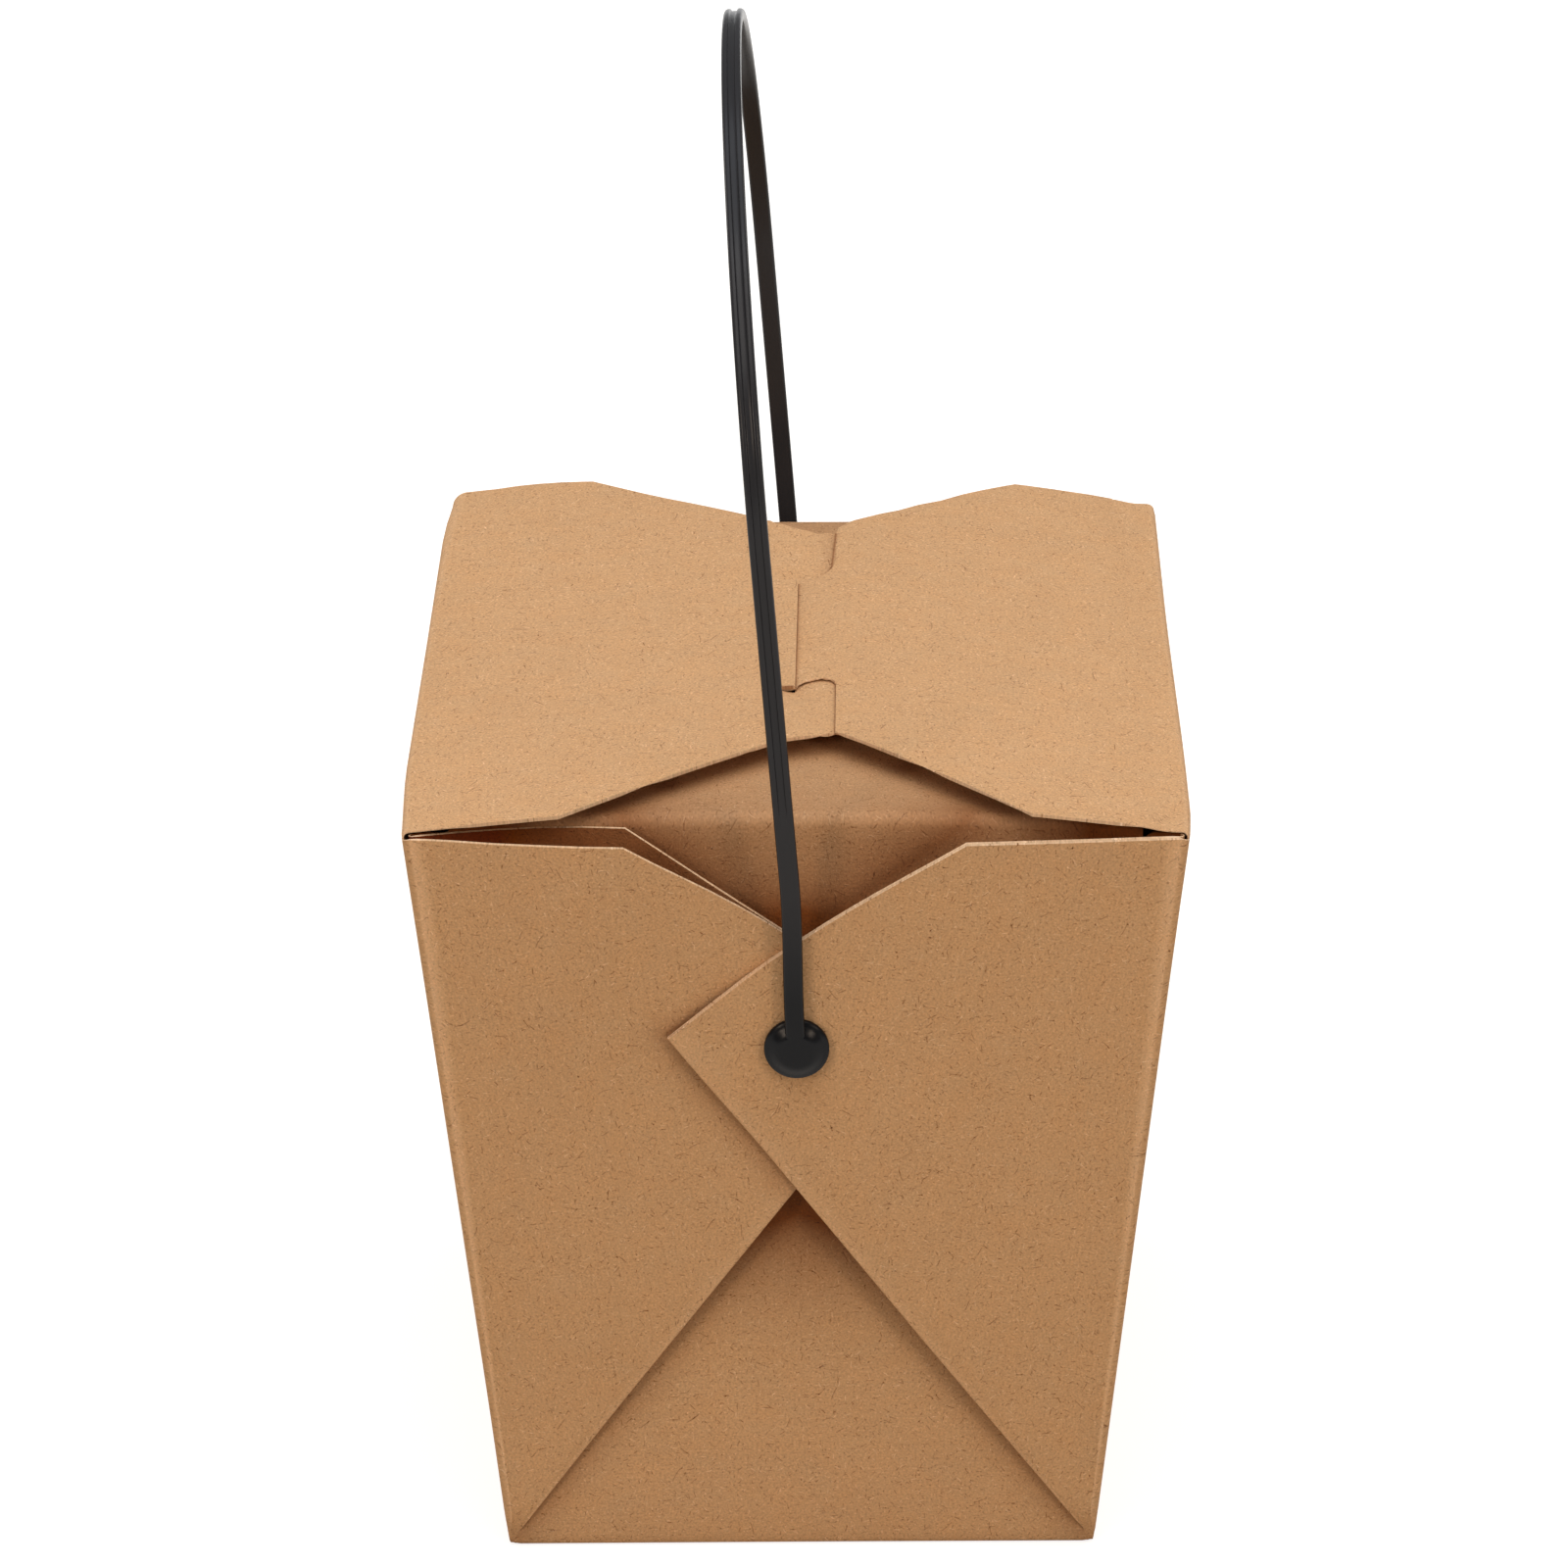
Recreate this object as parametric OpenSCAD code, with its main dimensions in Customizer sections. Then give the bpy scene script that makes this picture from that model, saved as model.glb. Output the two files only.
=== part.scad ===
// Takeout food pail: one folded sheet of kraft board with a snap-in plastic bail handle.
// X runs from side wall to side wall, Y from one handle button to the other, Z up.
// The origin is the centre of the bottom, on the table.

/* [Pail] */
// Width of the bottom, across the two side walls
bottom_w = 78; // [66:0.5:90]
// Depth of the bottom, across the two end walls
bottom_d = 89.5; // [76:0.5:100]
// Width across the folds of the two top flaps
top_w = 98.5; // [92:0.5:116]
// Depth across the top edges of the two end walls
top_d = 108; // [102:0.5:126]
// Height of the top folds above the table
pail_h = 109; // [100:0.5:130]
// Thickness of the board
board_t = 0.45; // [0.35:0.05:0.55]
// Air between two layers of board that lie on each other
layer_gap = 0.1; // [0.05:0.05:0.2]

/* [Corner webs] */
// Length of a web's top edge, from the corner of the pail
web_top_len = 27.5; // [18:0.5:34]
// How much lower the inner end of that top edge is
web_top_drop = 0.8; // [0:0.1:2]
// How far the tip of a web passes the centre of the end wall
web_reach = 16.5; // [12:0.5:22]
// Outward bow of the sloping cut edge
web_cut_bow = 1.2; // [0:0.1:3]

/* [Top flaps] */
// Length of a flap's straight ends, from its fold
flap_end_len = 19.5; // [14:0.5:26]
// How far each flap stops short of the end walls
flap_short = 0.3; // [0.1:0.1:1]
// How far the folds of the flaps bulge past the side walls, in their middle
fold_bulge = 0.8; // [0:0.1:1.5]
// Rise of the closed top's middle above the folds
lid_rise = 3.6; // [2:0.1:6]
// Distance of the visible seam from the centre, towards the right
seam_x = 4.9; // [4:0.1:8]
// Half the length of the right flap's seam edge
seam_half = 33.6; // [28:0.2:38]
// Half the length of the left flap's hidden end
left_end_half = 33; // [28:0.5:36]
// How far left of the centre the left flap's slanting edges end
left_bend_x = 2.4; // [0:0.2:8]
// How far the left flap passes the slit, below the right flap
strip_w = 12; // [8:0.5:18]
// Length of an inner end flap, from the end wall inwards
inner_flap_len = 30; // [22:0.5:36]
// Width of an inner end flap at its fold
inner_flap_w = 82; // [70:0.5:86]
// Width of an inner end flap at its free edge
inner_flap_tip_w = 60; // [40:0.5:68]
// Corner radius of an inner end flap
inner_flap_r = 6; // [2:0.5:10]

/* [Lock] */
// Place of the slit in the left flap, from the centre
slit_x = -0.4; // [-3:0.1:1]
// Half the length of the slit
slit_half = 17.6; // [14:0.2:22]
// Width that the slit opens to around the tongue
slit_w = 1.8; // [1.6:0.1:2.4]
// Length of the short cuts that turn off at the slit's ends
slit_leg = 4; // [2:0.5:8]
// Width of those short cuts
leg_w = 0.3; // [0.2:0.1:0.6]
// Play of the tongue in the slit, at each end
tongue_play = 0.3; // [0.2:0.1:1]
// Length of the tongue past the slit
tongue_len = 8; // [5:0.5:9]
// How much narrower the tongue's tip is, on each side
tongue_taper = 5; // [2:0.5:8]
// Corner radius of the tongue's tip
tongue_r = 3; // [1:0.5:4]
// Radius of the rounded shoulder at the tongue's far side
shoulder_r = 3.2; // [2:0.2:4]

/* [Handle] */
// Height of the two buttons' centres above the table
button_z = 79; // [72:0.5:84]
// Diameter of a button
button_d = 8.3; // [7:0.1:10]
// Height of a button's dome
button_dome = 1.1; // [0.6:0.1:1.6]
// Thickness of a button's straight rim
button_rim = 0.6; // [0.4:0.1:1]
// Diameter of the pins that go through the board
pin_d = 3.6; // [3:0.1:4.4]
// Clearance between a pin and its hole, all round
pin_clear = 0.06; // [0.03:0.01:0.1]
// Free air between a button or pin head and the board
button_clear = 0.15; // [0.1:0.05:0.4]
// Diameter of the barbed heads inside the pail
barb_d = 6.4; // [5.4:0.1:7.4]
// Length of a barbed head
barb_len = 2.2; // [1.6:0.1:3]
// Length of the straight rim at a barbed head's widest place
barb_rim = 0.5; // [0.3:0.1:0.8]
// How much slimmer than the pin the tip of a barbed head is, all round
barb_tip_step = 0.4; // [0.2:0.1:0.8]
// Width of the strap
strap_w = 2.5; // [2:0.1:3.2]
// Thickness of the strap
strap_t = 1.5; // [1.2:0.1:2]
// Air between the strap and the widest place of the end walls
strap_clear = 0.5; // [0.3:0.1:1.5]
// Length of the straight legs, from the buttons up
leg_len = 68; // [60:0.5:80]
// Height of the strap's outer top above the buttons
handle_rise = 116.5; // [108:0.5:130]
// Depth of the groove along the strap's outer face
groove_deep = 0.3; // [0.2:0.05:0.5]
// Width of that groove
groove_w = 0.8; // [0.5:0.1:1.2]
// Where the groove starts, from the buttons up
groove_start = 34; // [20:1:60]
// Lean of the resting handle to the left, in degrees
handle_lean = 4.2; // [0:0.1:10]

/* [Hidden] */
$fn = 64;
KRAFT = [0.78, 0.60, 0.42];
KRAFT_FLAP = [0.84, 0.67, 0.49];
BLACK_PLASTIC = [0.07, 0.07, 0.08];

// Walls lean outwards: run per unit of height, and the horizontal thickness that gives board_t across the board.
side_lean = (top_w - bottom_w) / 2 / pail_h;
end_lean = (top_d - bottom_d) / 2 / pail_h;
side_slant = sqrt(1 + side_lean * side_lean);
end_slant = sqrt(1 + end_lean * end_lean);
side_wall_x = board_t * side_slant;
end_wall_y = board_t * end_slant;
layer_pitch = board_t + layer_gap;
web_layers = 4;
past = 5;
cut = 0.1;

// Everything but the left flap's fold stops here, just under the top flaps.
wall_top = pail_h - board_t - layer_gap;

// A web was flat in the blank, so its angle is what the bottom and the two walls leave of a full turn, and the
// diagonal fold halves it. Angles are measured in the plane of the end wall.
corner_on_end = atan(side_lean / end_slant);
corner_on_side = atan(end_lean / side_slant);
web_angle = 90 - corner_on_end - corner_on_side;
diagonal_angle = web_angle / 2 - corner_on_end;
diagonal_run = tan(diagonal_angle) * end_slant;
web_tip_z = (bottom_w / 2 + web_reach) / diagonal_run;
web_inset = board_t / sin(web_angle / 4);
web_inset_angle = (diagonal_angle - corner_on_end) / 2;
bend_x = web_reach + 1;

function half_w(z) = bottom_w / 2 + z * side_lean;
function half_d(z) = bottom_d / 2 + z * end_lean;

// Distance of a layer's outer face from the end wall's outer face, measured along Y. Layer 0 is the wall itself.
function layer_face(n) = n * layer_pitch * end_slant;

// Points of an arc about a centre.
function arc(centre, r, from, to, steps = 10) =
    [for (i = [0 : steps]) centre + r * [cos(from + (to - from) * i / steps), sin(from + (to - from) * i / steps)]];

// A corner web on the right of the end wall, seen from the front as x and height: its foot, the pail's corner, and
// the free edge from the shoulder to the tip.
function web_outline() =
    let (
        start = [top_w / 2 - web_top_len, pail_h - web_top_drop],
        tip = [-web_reach, web_tip_z],
        along = (tip - start) / norm(tip - start),
        outward = [along[1], -along[0]],
        steps = 8
    )
    concat(
        [[bottom_w / 2, 0], [top_w / 2, pail_h]],
        [for (i = [0 : steps]) start + (tip - start) * i / steps + outward * web_cut_bow * sin(180 * i / steps)]
    );

// The closed top is one low arch from fold to fold, level where the folds bulge.
function arch_z(x) = pail_h + lid_rise * cos(min(90, 90 * abs(x) / (top_w / 2)));

// How far the right flap lies above the left one: nothing at its own fold, one layer where they overlap.
function right_lift(x) =
    let (full_at = slit_x + strip_w)
    layer_pitch * max(0, min(1, (top_w / 2 - x) / (top_w / 2 - full_at)));

// Board seen edge-on, from a list of points on its upper face.
function board_band(upper) =
    let (n = len(upper))
    concat(upper, [for (i = [1 : n]) upper[n - i] - [0, board_t]]);

left_edge_x = slit_x + strip_w;
right_ramp = slit_w - 2 * tongue_play;
fold_reach = top_w / 2 + fold_bulge;
arch_steps = 12;
bulge_steps = 16;

left_profile = board_band(
    [for (i = [0 : arch_steps])
        let (x = -fold_reach + (left_edge_x + fold_reach) * i / arch_steps)
        [x, arch_z(x)]]
);

right_profile = board_band(concat(
    [for (x = [slit_x - right_ramp / 2 - tongue_len, slit_x - right_ramp / 2]) [x, arch_z(x) - layer_pitch]],
    [for (i = [0 : arch_steps])
        let (x = slit_x + right_ramp / 2 + (fold_reach - slit_x - right_ramp / 2) * i / arch_steps)
        [x, arch_z(x) + right_lift(x)]]
));

flap_half = top_d / 2 - flap_short;
tongue_half = slit_half - tongue_play;
relief_r = (seam_x - slit_x) / 2;
shoulder_y = tongue_half + 2 * shoulder_r;
shoulder_from = 290;
tip_x = slit_x - right_ramp / 2 - tongue_len;

// Folded edge of a flap on one side (1 right, -1 left), from its far end to its near end.
function fold_edge(side) =
    [for (i = [0 : bulge_steps])
        let (t = i / bulge_steps)
        [side * (top_w / 2 + fold_bulge * sqrt(sin(180 * t))), flap_half * (1 - 2 * t)]];

// Left flap from above: straight ends, slanting edges, and the end that the right flap hides.
left_outline = concat(
    [
        [-top_w / 2 + flap_end_len, -flap_half],
        [-left_bend_x, -left_end_half],
        [left_edge_x, -left_end_half],
        [left_edge_x, left_end_half],
        [-left_bend_x, left_end_half],
        [-top_w / 2 + flap_end_len, flap_half]
    ],
    fold_edge(-1)
);

// Right flap from above: the near side of the tongue has a round relief, the far side a rounded shoulder.
right_outline = concat(
    [[top_w / 2 - flap_end_len, -flap_half], [seam_x, -seam_half]],
    arc([slit_x + relief_r, -tongue_half], relief_r, 0, 180),
    arc([tip_x + tongue_r, -tongue_half + tongue_taper + tongue_r], tongue_r, 270, 180),
    arc([tip_x + tongue_r, tongue_half - tongue_taper - tongue_r], tongue_r, 180, 90),
    [[slit_x, tongue_half]],
    arc([seam_x - shoulder_r, shoulder_y], shoulder_r, shoulder_from, 360),
    [[seam_x, seam_half], [top_w / 2 - flap_end_len, flap_half]],
    fold_edge(1)
);

// Half of the strap's centre line, from a button up and over, as distance from the middle and height above the
// buttons. The leg follows the leaning end wall up to the pail's top, runs straight on, and ends in half an ellipse.
end_face_y = half_d(button_z) + layer_face(web_layers);
widest_y = half_d(pail_h) + layer_face(web_layers);
leg_y = widest_y + strap_clear + strap_t / 2;
splay_end = pail_h - button_z;
foot_y = leg_y - splay_end * end_lean;
crown_rise = handle_rise - leg_len;
crown_steps = 40;

// The strap's outline seen along X, moved outwards by a distance.
function strap_line(out) =
    concat(
        [[-foot_y - out, 0], [-leg_y - out, splay_end]],
        [for (i = [0 : crown_steps])
            let (a = 180 - 180 * i / crown_steps)
            [(leg_y + out) * cos(a), leg_len + (crown_rise - strap_t / 2 + out) * sin(a)]],
        [[leg_y + out, splay_end], [foot_y + out, 0]]
    );

function reversed(points) = [for (i = [1 : len(points)]) points[len(points) - i]];

// Extrudes an x-z outline along Y, across the whole pail.
module along_y(outline, from, to) {
    translate([0, to, 0])
        rotate([90, 0, 0])
            linear_extrude(to - from)
                polygon(outline);
}

// Extrudes a y-z outline along X, centred.
module along_x(outline, width) {
    rotate([90, 0, 90])
        linear_extrude(width, center = true)
            polygon(outline);
}

// A block that tapers like the pail, moved inwards by a wall's thickness and raised by the bottom's.
module tapered_block(inset_x, inset_y, z0, z1) {
    intersection() {
        along_y([
            [-half_w(z0) + inset_x, z0], [half_w(z0) - inset_x, z0],
            [half_w(z1) - inset_x, z1], [-half_w(z1) + inset_x, z1]
        ], -top_d, top_d);
        along_x([
            [-half_d(z0) + inset_y, z0], [half_d(z0) - inset_y, z0],
            [half_d(z1) - inset_y, z1], [-half_d(z1) + inset_y, z1]
        ], 2 * top_w);
    }
}

// Bottom, side walls and end walls.
module tub() {
    difference() {
        tapered_block(0, 0, 0, pail_h);
        tapered_block(side_wall_x, end_wall_y, board_t, pail_h + past);
    }
}

// A sheet that lies on the near end wall, between two distances from the wall's outer face.
module end_sheet(from, to) {
    z0 = -past;
    z1 = pail_h + past;
    along_x([
        [-half_d(z0) - from, z0], [-half_d(z1) - from, z1], [-half_d(z1) - to, z1], [-half_d(z0) - to, z0]
    ], 2 * top_w);
}

// The same sheet where it rides over the opposite web: flat on it up to the bend, then leaning back to the wall
// so that it comes down by a given height at the top corner.
module riding_sheet(from, to, descent) {
    intersection() {
        end_sheet(from, to);
        translate([bend_x - 2 * top_w, -top_d, -past])
            cube([2 * top_w, top_d, pail_h + 2 * past]);
    }
    intersection() {
        translate([bend_x, -half_d(0), 0])
            rotate(a = atan(descent / (top_w / 2 - bend_x)), v = [0, -end_lean, 1])
                translate([-bend_x, half_d(0), 0])
                    end_sheet(from, to);
        translate([bend_x - cut, -top_d, -past])
            cube([top_w, top_d, pail_h + 2 * past]);
    }
}

// One corner web on the right of the near end: two layers, closed along the diagonal fold and along the corner,
// open between them at the cut edges. It lies over as many other layers as is said.
module corner_web(layers_below) {
    inner_face = layer_face(layers_below) + layer_gap * end_slant;
    outer_face = layer_face(layers_below + 2);
    descent = layer_face(layers_below);
    difference() {
        intersection() {
            riding_sheet(inner_face, outer_face, descent);
            along_y(web_outline(), -top_d, 0);
        }
        intersection() {
            riding_sheet(inner_face + end_wall_y, outer_face - end_wall_y, descent);
            translate([-web_inset * sin(web_inset_angle), 0, web_inset * cos(web_inset_angle)])
                along_y(web_outline(), -top_d, 0);
        }
    }
    intersection() {
        end_sheet(-end_wall_y / 2, outer_face);
        riding_sheet(-descent - end_wall_y, outer_face, descent);
        along_y([
            [bottom_w / 2, 0], [top_w / 2, pail_h],
            [top_w / 2 - side_wall_x, pail_h], [bottom_w / 2 - side_wall_x, 0]
        ], -top_d, 0);
    }
}

// The webs of the near end: the left pair lies on the wall, the right pair over it.
module end_webs() {
    corner_web(2);
    mirror([1, 0, 0])
        corner_web(0);
}

// Flap on top of the near end wall, folded in under the top flaps.
module inner_end_flap() {
    fold_y = -half_d(wall_top) + end_wall_y / 2;
    tip_y = fold_y + inner_flap_len;
    r = inner_flap_r;
    translate([0, 0, wall_top - board_t])
        linear_extrude(board_t)
            polygon(concat(
                [[-inner_flap_w / 2, fold_y], [inner_flap_w / 2, fold_y]],
                arc([inner_flap_tip_w / 2 - r, tip_y - r], r, 0, 90),
                arc([-inner_flap_tip_w / 2 + r, tip_y - r], r, 90, 180)
            ));
}

// The cut that takes the tongue, with its two short legs.
module slit() {
    linear_extrude(pail_h + lid_rise + past)
        union() {
            translate([slit_x - slit_w / 2, -slit_half])
                square([slit_w, 2 * slit_half]);
            for (y = [-slit_half, slit_half - leg_w])
                translate([slit_x - slit_w / 2 - slit_leg, y])
                    square([slit_leg + cut, leg_w]);
        }
}

// Left top flap, folded over from the left side wall.
module left_top_flap() {
    difference() {
        intersection() {
            along_y(left_profile, -top_d, top_d);
            linear_extrude(pail_h + lid_rise + past)
                polygon(left_outline);
        }
        slit();
    }
}

// Takes the walls down to the underside of the top flaps, all but the fold of the left flap.
module top_clearance() {
    fold_x = -top_w / 2 + side_wall_x - cut / 2;
    translate([fold_x, -top_d, wall_top])
        cube([2 * top_w, 2 * top_d, past]);
    for (y = [-top_d - flap_half, flap_half])
        translate([-top_w, y, wall_top])
            cube([2 * top_w, top_d, past]);
}

// The two holes that the handle's pins turn in.
module pin_holes() {
    translate([0, 0, button_z])
        rotate([90, 0, 0])
            cylinder(r = pin_d / 2 + pin_clear, h = 2 * top_d, center = true);
}

module carton() {
    color(KRAFT)
        union() {
            difference() {
                union() {
                    tub();
                    for (end = [0, 1])
                        mirror([0, end, 0]) {
                            if (end == 0) end_webs();
                            else mirror([1, 0, 0]) end_webs();
                        }
                }
                top_clearance();
                pin_holes();
            }
            left_top_flap();
            for (end = [0, 1])
                mirror([0, end, 0])
                    inner_end_flap();
        }
}

module right_top_flap() {
    color(KRAFT_FLAP)
        intersection() {
            along_y(right_profile, -top_d, top_d);
            linear_extrude(pail_h + lid_rise + past)
                polygon(right_outline);
        }
}

// Pin, barbed head and domed button at the near end, turned about the handle's axis.
module button() {
    tilt_y = button_d / 2 * end_lean;
    barb_tilt_y = barb_d / 2 * end_lean;
    seat = end_face_y + tilt_y + button_clear;
    barb_seat = half_d(button_z) - end_wall_y - barb_tilt_y - button_clear;
    barb_tip = barb_seat - barb_len;
    dome_r = (button_d * button_d / 4 + button_dome * button_dome) / (2 * button_dome);
    dome_top = seat + button_rim + button_dome;
    dome_half_angle = asin(button_d / 2 / dome_r);
    rotate([90, 0, 0])
        rotate_extrude()
            polygon(concat(
                [[0, barb_tip], [pin_d / 2 - barb_tip_step, barb_tip], [barb_d / 2, barb_seat - barb_rim],
                 [barb_d / 2, barb_seat],
                 [pin_d / 2, barb_seat], [pin_d / 2, seat],
                 [button_d / 2, seat], [button_d / 2, seat + button_rim]],
                arc([0, dome_top - dome_r], dome_r, 90 - dome_half_angle, 90, 8)
            ));
}

// The strap: a flat band bent over the pail, grooved along its outer face above the pail's top.
module strap() {
    difference() {
        along_x(concat(strap_line(strap_t / 2), reversed(strap_line(-strap_t / 2))), strap_w);
        intersection() {
            along_x(concat(strap_line(strap_t), reversed(strap_line(strap_t / 2 - groove_deep))), groove_w);
            translate([-strap_w, -top_d, groove_start])
                cube([2 * strap_w, 2 * top_d, 2 * handle_rise]);
        }
    }
}

// Round end of a strap leg, on the middle of its button.
module strap_foot() {
    rotate([90, 0, 0])
        translate([0, 0, foot_y - strap_t / 2])
            cylinder(d = strap_w, h = strap_t);
}

module handle() {
    color(BLACK_PLASTIC)
        translate([0, 0, button_z])
            rotate([0, -handle_lean, 0])
                union() {
                    strap();
                    for (end = [0, 1])
                        mirror([0, end, 0]) {
                            button();
                            strap_foot();
                        }
                }
}

carton();
right_top_flap();
handle();
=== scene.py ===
# %% [markdown]
# # A folded kraft pail with a plastic handle
# The real pail is one sheet of kraft board, die cut, creased and folded round its corners, with two
# top flaps that lock and a moulded bail handle that snaps through the walls. The CAD model gives the
# frame: sizes, hinges and what moves. Here each sheet is built again as real folded board, because
# the looks of such a pail are all in its soft folds, thin cut edges and the grain of its paper.

import math

import bmesh
import bpy
from mathutils import Matrix, Vector


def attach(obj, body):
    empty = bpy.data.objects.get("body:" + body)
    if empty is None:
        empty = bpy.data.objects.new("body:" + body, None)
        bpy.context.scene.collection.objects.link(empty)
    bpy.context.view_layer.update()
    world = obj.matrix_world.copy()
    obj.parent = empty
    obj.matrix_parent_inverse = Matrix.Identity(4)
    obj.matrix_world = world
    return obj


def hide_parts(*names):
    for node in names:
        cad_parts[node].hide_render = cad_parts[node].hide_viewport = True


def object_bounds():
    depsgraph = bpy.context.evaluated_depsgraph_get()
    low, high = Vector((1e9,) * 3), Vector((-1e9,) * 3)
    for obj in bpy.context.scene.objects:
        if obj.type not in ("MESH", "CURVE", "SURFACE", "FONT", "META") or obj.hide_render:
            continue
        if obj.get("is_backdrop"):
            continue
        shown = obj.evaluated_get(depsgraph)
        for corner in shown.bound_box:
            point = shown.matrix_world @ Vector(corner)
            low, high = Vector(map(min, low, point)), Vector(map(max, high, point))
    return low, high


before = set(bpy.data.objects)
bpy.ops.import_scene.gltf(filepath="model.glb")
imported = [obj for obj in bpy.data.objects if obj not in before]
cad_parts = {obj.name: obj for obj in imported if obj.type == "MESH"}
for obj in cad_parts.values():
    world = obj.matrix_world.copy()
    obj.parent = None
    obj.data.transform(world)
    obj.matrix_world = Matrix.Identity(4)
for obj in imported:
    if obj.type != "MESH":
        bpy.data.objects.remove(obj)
cad_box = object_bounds()

# %% [markdown]
# ## Camera
# The photo is taken from a little above the front, with a long lens. The camera's place was worked
# out from the eight corners of the pail, so the model falls on the photo's outlines by itself.
# A camera's matrix has its own right, up and backward directions as columns.

# %% Camera at the photo's angle
def new_object(name, data):
    """Wraps a mesh, lamp or camera in an object of the scene."""
    made = bpy.data.objects.new(name, data)
    bpy.context.scene.collection.objects.link(made)
    return made


def set_all(thing, **settings):
    """Sets several properties of a camera, lamp, modifier or node."""
    for name, value in settings.items():
        setattr(thing, name, value)


MM = 0.001
CAMERA_PLACE = Vector((10.51, -762.19, 443.40)) * MM
CAMERA_PITCH = math.radians(24.833)
CAMERA_YAW = math.radians(-0.958)
CAMERA_ROLL = math.radians(-0.48)
CAMERA_LENS = 144.33

forward = Vector((
    math.sin(CAMERA_YAW) * math.cos(CAMERA_PITCH),
    math.cos(CAMERA_YAW) * math.cos(CAMERA_PITCH),
    -math.sin(CAMERA_PITCH),
))
level_right = forward.cross(Vector((0, 0, 1))).normalized()
level_up = level_right.cross(forward)
right = level_right * math.cos(CAMERA_ROLL) + level_up * math.sin(CAMERA_ROLL)
up = level_up * math.cos(CAMERA_ROLL) - level_right * math.sin(CAMERA_ROLL)

camera_data = bpy.data.cameras.new("photo_camera")
set_all(camera_data, lens=CAMERA_LENS, sensor_width=36)
camera = new_object("photo_camera", camera_data)
turned_to_pail = Matrix((right, up, -forward)).transposed().to_4x4()
camera.matrix_world = Matrix.Translation(CAMERA_PLACE) @ turned_to_pail
bpy.context.scene.camera = camera
print("camera looks down by", round(math.degrees(CAMERA_PITCH), 1), "degrees")

# %% [markdown]
# ## Sizes
# Everything is worked out in millimetres on the middle of the board and made metres at the end.
# The walls lean outwards. Where several layers lie on each other, a layer's number tells how far it
# stands from the end wall: 0 is the wall, 1 and 2 the left web's halves, 3 and 4 the right one's.

# %% Sizes of the pail, in millimetres
BOTTOM_W, BOTTOM_D = 78.0, 89.5
TOP_W, TOP_D = 98.5, 108.0
PAIL_H = 109.0
BOARD = 0.45
AIR = 0.1
LAYER = BOARD + AIR
SIDE_LEAN = (TOP_W - BOTTOM_W) / 2 / PAIL_H
END_LEAN = (TOP_D - BOTTOM_D) / 2 / PAIL_H
WALL_TOP = PAIL_H - LAYER
FLOOR_MID = BOARD / 2
BUTTON_Z = 79.0
FOLD_BULGE = 0.8


def half_w(z):
    """Half the width of the pail at a height, to the outside of a side wall."""
    return BOTTOM_W / 2 + z * SIDE_LEAN


def half_d(z):
    """Half its depth, to the outside of an end wall."""
    return BOTTOM_D / 2 + z * END_LEAN


def smooth(t):
    """0 below 0, 1 above 1, and an S-curve between."""
    t = min(1.0, max(0.0, t))
    return t * t * (3 - 2 * t)


def between(a, b, t):
    return a + (b - a) * t


def fold_bulge(wall, y):
    """How far the top fold of a side wall (1 right, -1 left) springs outwards at one place along it."""
    if wall < 0:
        return FOLD_BULGE * smooth((y + 58) / 26) * (1 - 0.75 * smooth((y - 43) / 11))
    return 0.6 * FOLD_BULGE * smooth((y + 57) / 12) * (1 - smooth((y + 38) / 60))


def side_x(wall, y, z):
    """Distance of the middle of a side wall's board from the pail's middle."""
    bulged = half_w(z) + fold_bulge(wall, y) * smooth((z - 84) / 24)
    return min(bulged, TOP_W / 2 + FOLD_BULGE - 0.02) - BOARD / 2


print("board", BOARD, "mm thick, side walls lean", round(math.degrees(math.atan(SIDE_LEAN)), 2), "degrees")

# %% [markdown]
# ## Helpers for board
# A sheet could be extruded as a plate, but then it wouldn't bend. Here a grid, or a flat blank cut
# into small fields with bisect_plane, is laid out first, and then each vertex is moved to its folded
# place. That keeps the faces even, and a fold is just a few narrow rows on an arc. Each face corner
# keeps its place on the flat sheet as its UV, in millimetres, so the paper's grain later runs on
# round a fold as it does on real board.

# %% Grids, blanks and joining
FLAT_UV = "flat"
CREASE = "crease"


def new_sheet():
    """An empty bmesh with a UV layer for the flat sheet and a mark for creases."""
    sheet = bmesh.new()
    sheet.loops.layers.uv.new(FLAT_UV)
    sheet.verts.layers.float.new(CREASE)
    return sheet


def settle(sheet, place, key):
    """Moves each vertex to where place(key) puts it and writes its flat place to its corners' UVs."""
    uv, crease = sheet.loops.layers.uv[FLAT_UV], sheet.verts.layers.float[CREASE]
    flat = {}
    for vert in sheet.verts:
        point, flat_place, fold = place(*key(vert))
        vert.co = point
        vert[crease] = fold
        flat[vert] = flat_place
    for face in sheet.faces:
        for loop in face.loops:
            loop[uv].uv = flat[loop.vert]
    return sheet


def mapped_grid(columns, rows, place):
    """A grid with one vertex for each column and row, each moved to place(column, row)."""
    sheet = new_sheet()
    last_column, last_row = len(columns) - 1, len(rows) - 1
    bmesh.ops.create_grid(sheet, x_segments=last_column, y_segments=last_row, size=1)

    def key(vert):
        return (
            columns[round((vert.co.x + 1) / 2 * last_column)],
            rows[round((vert.co.y + 1) / 2 * last_row)],
        )

    return settle(sheet, place, key)


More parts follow.
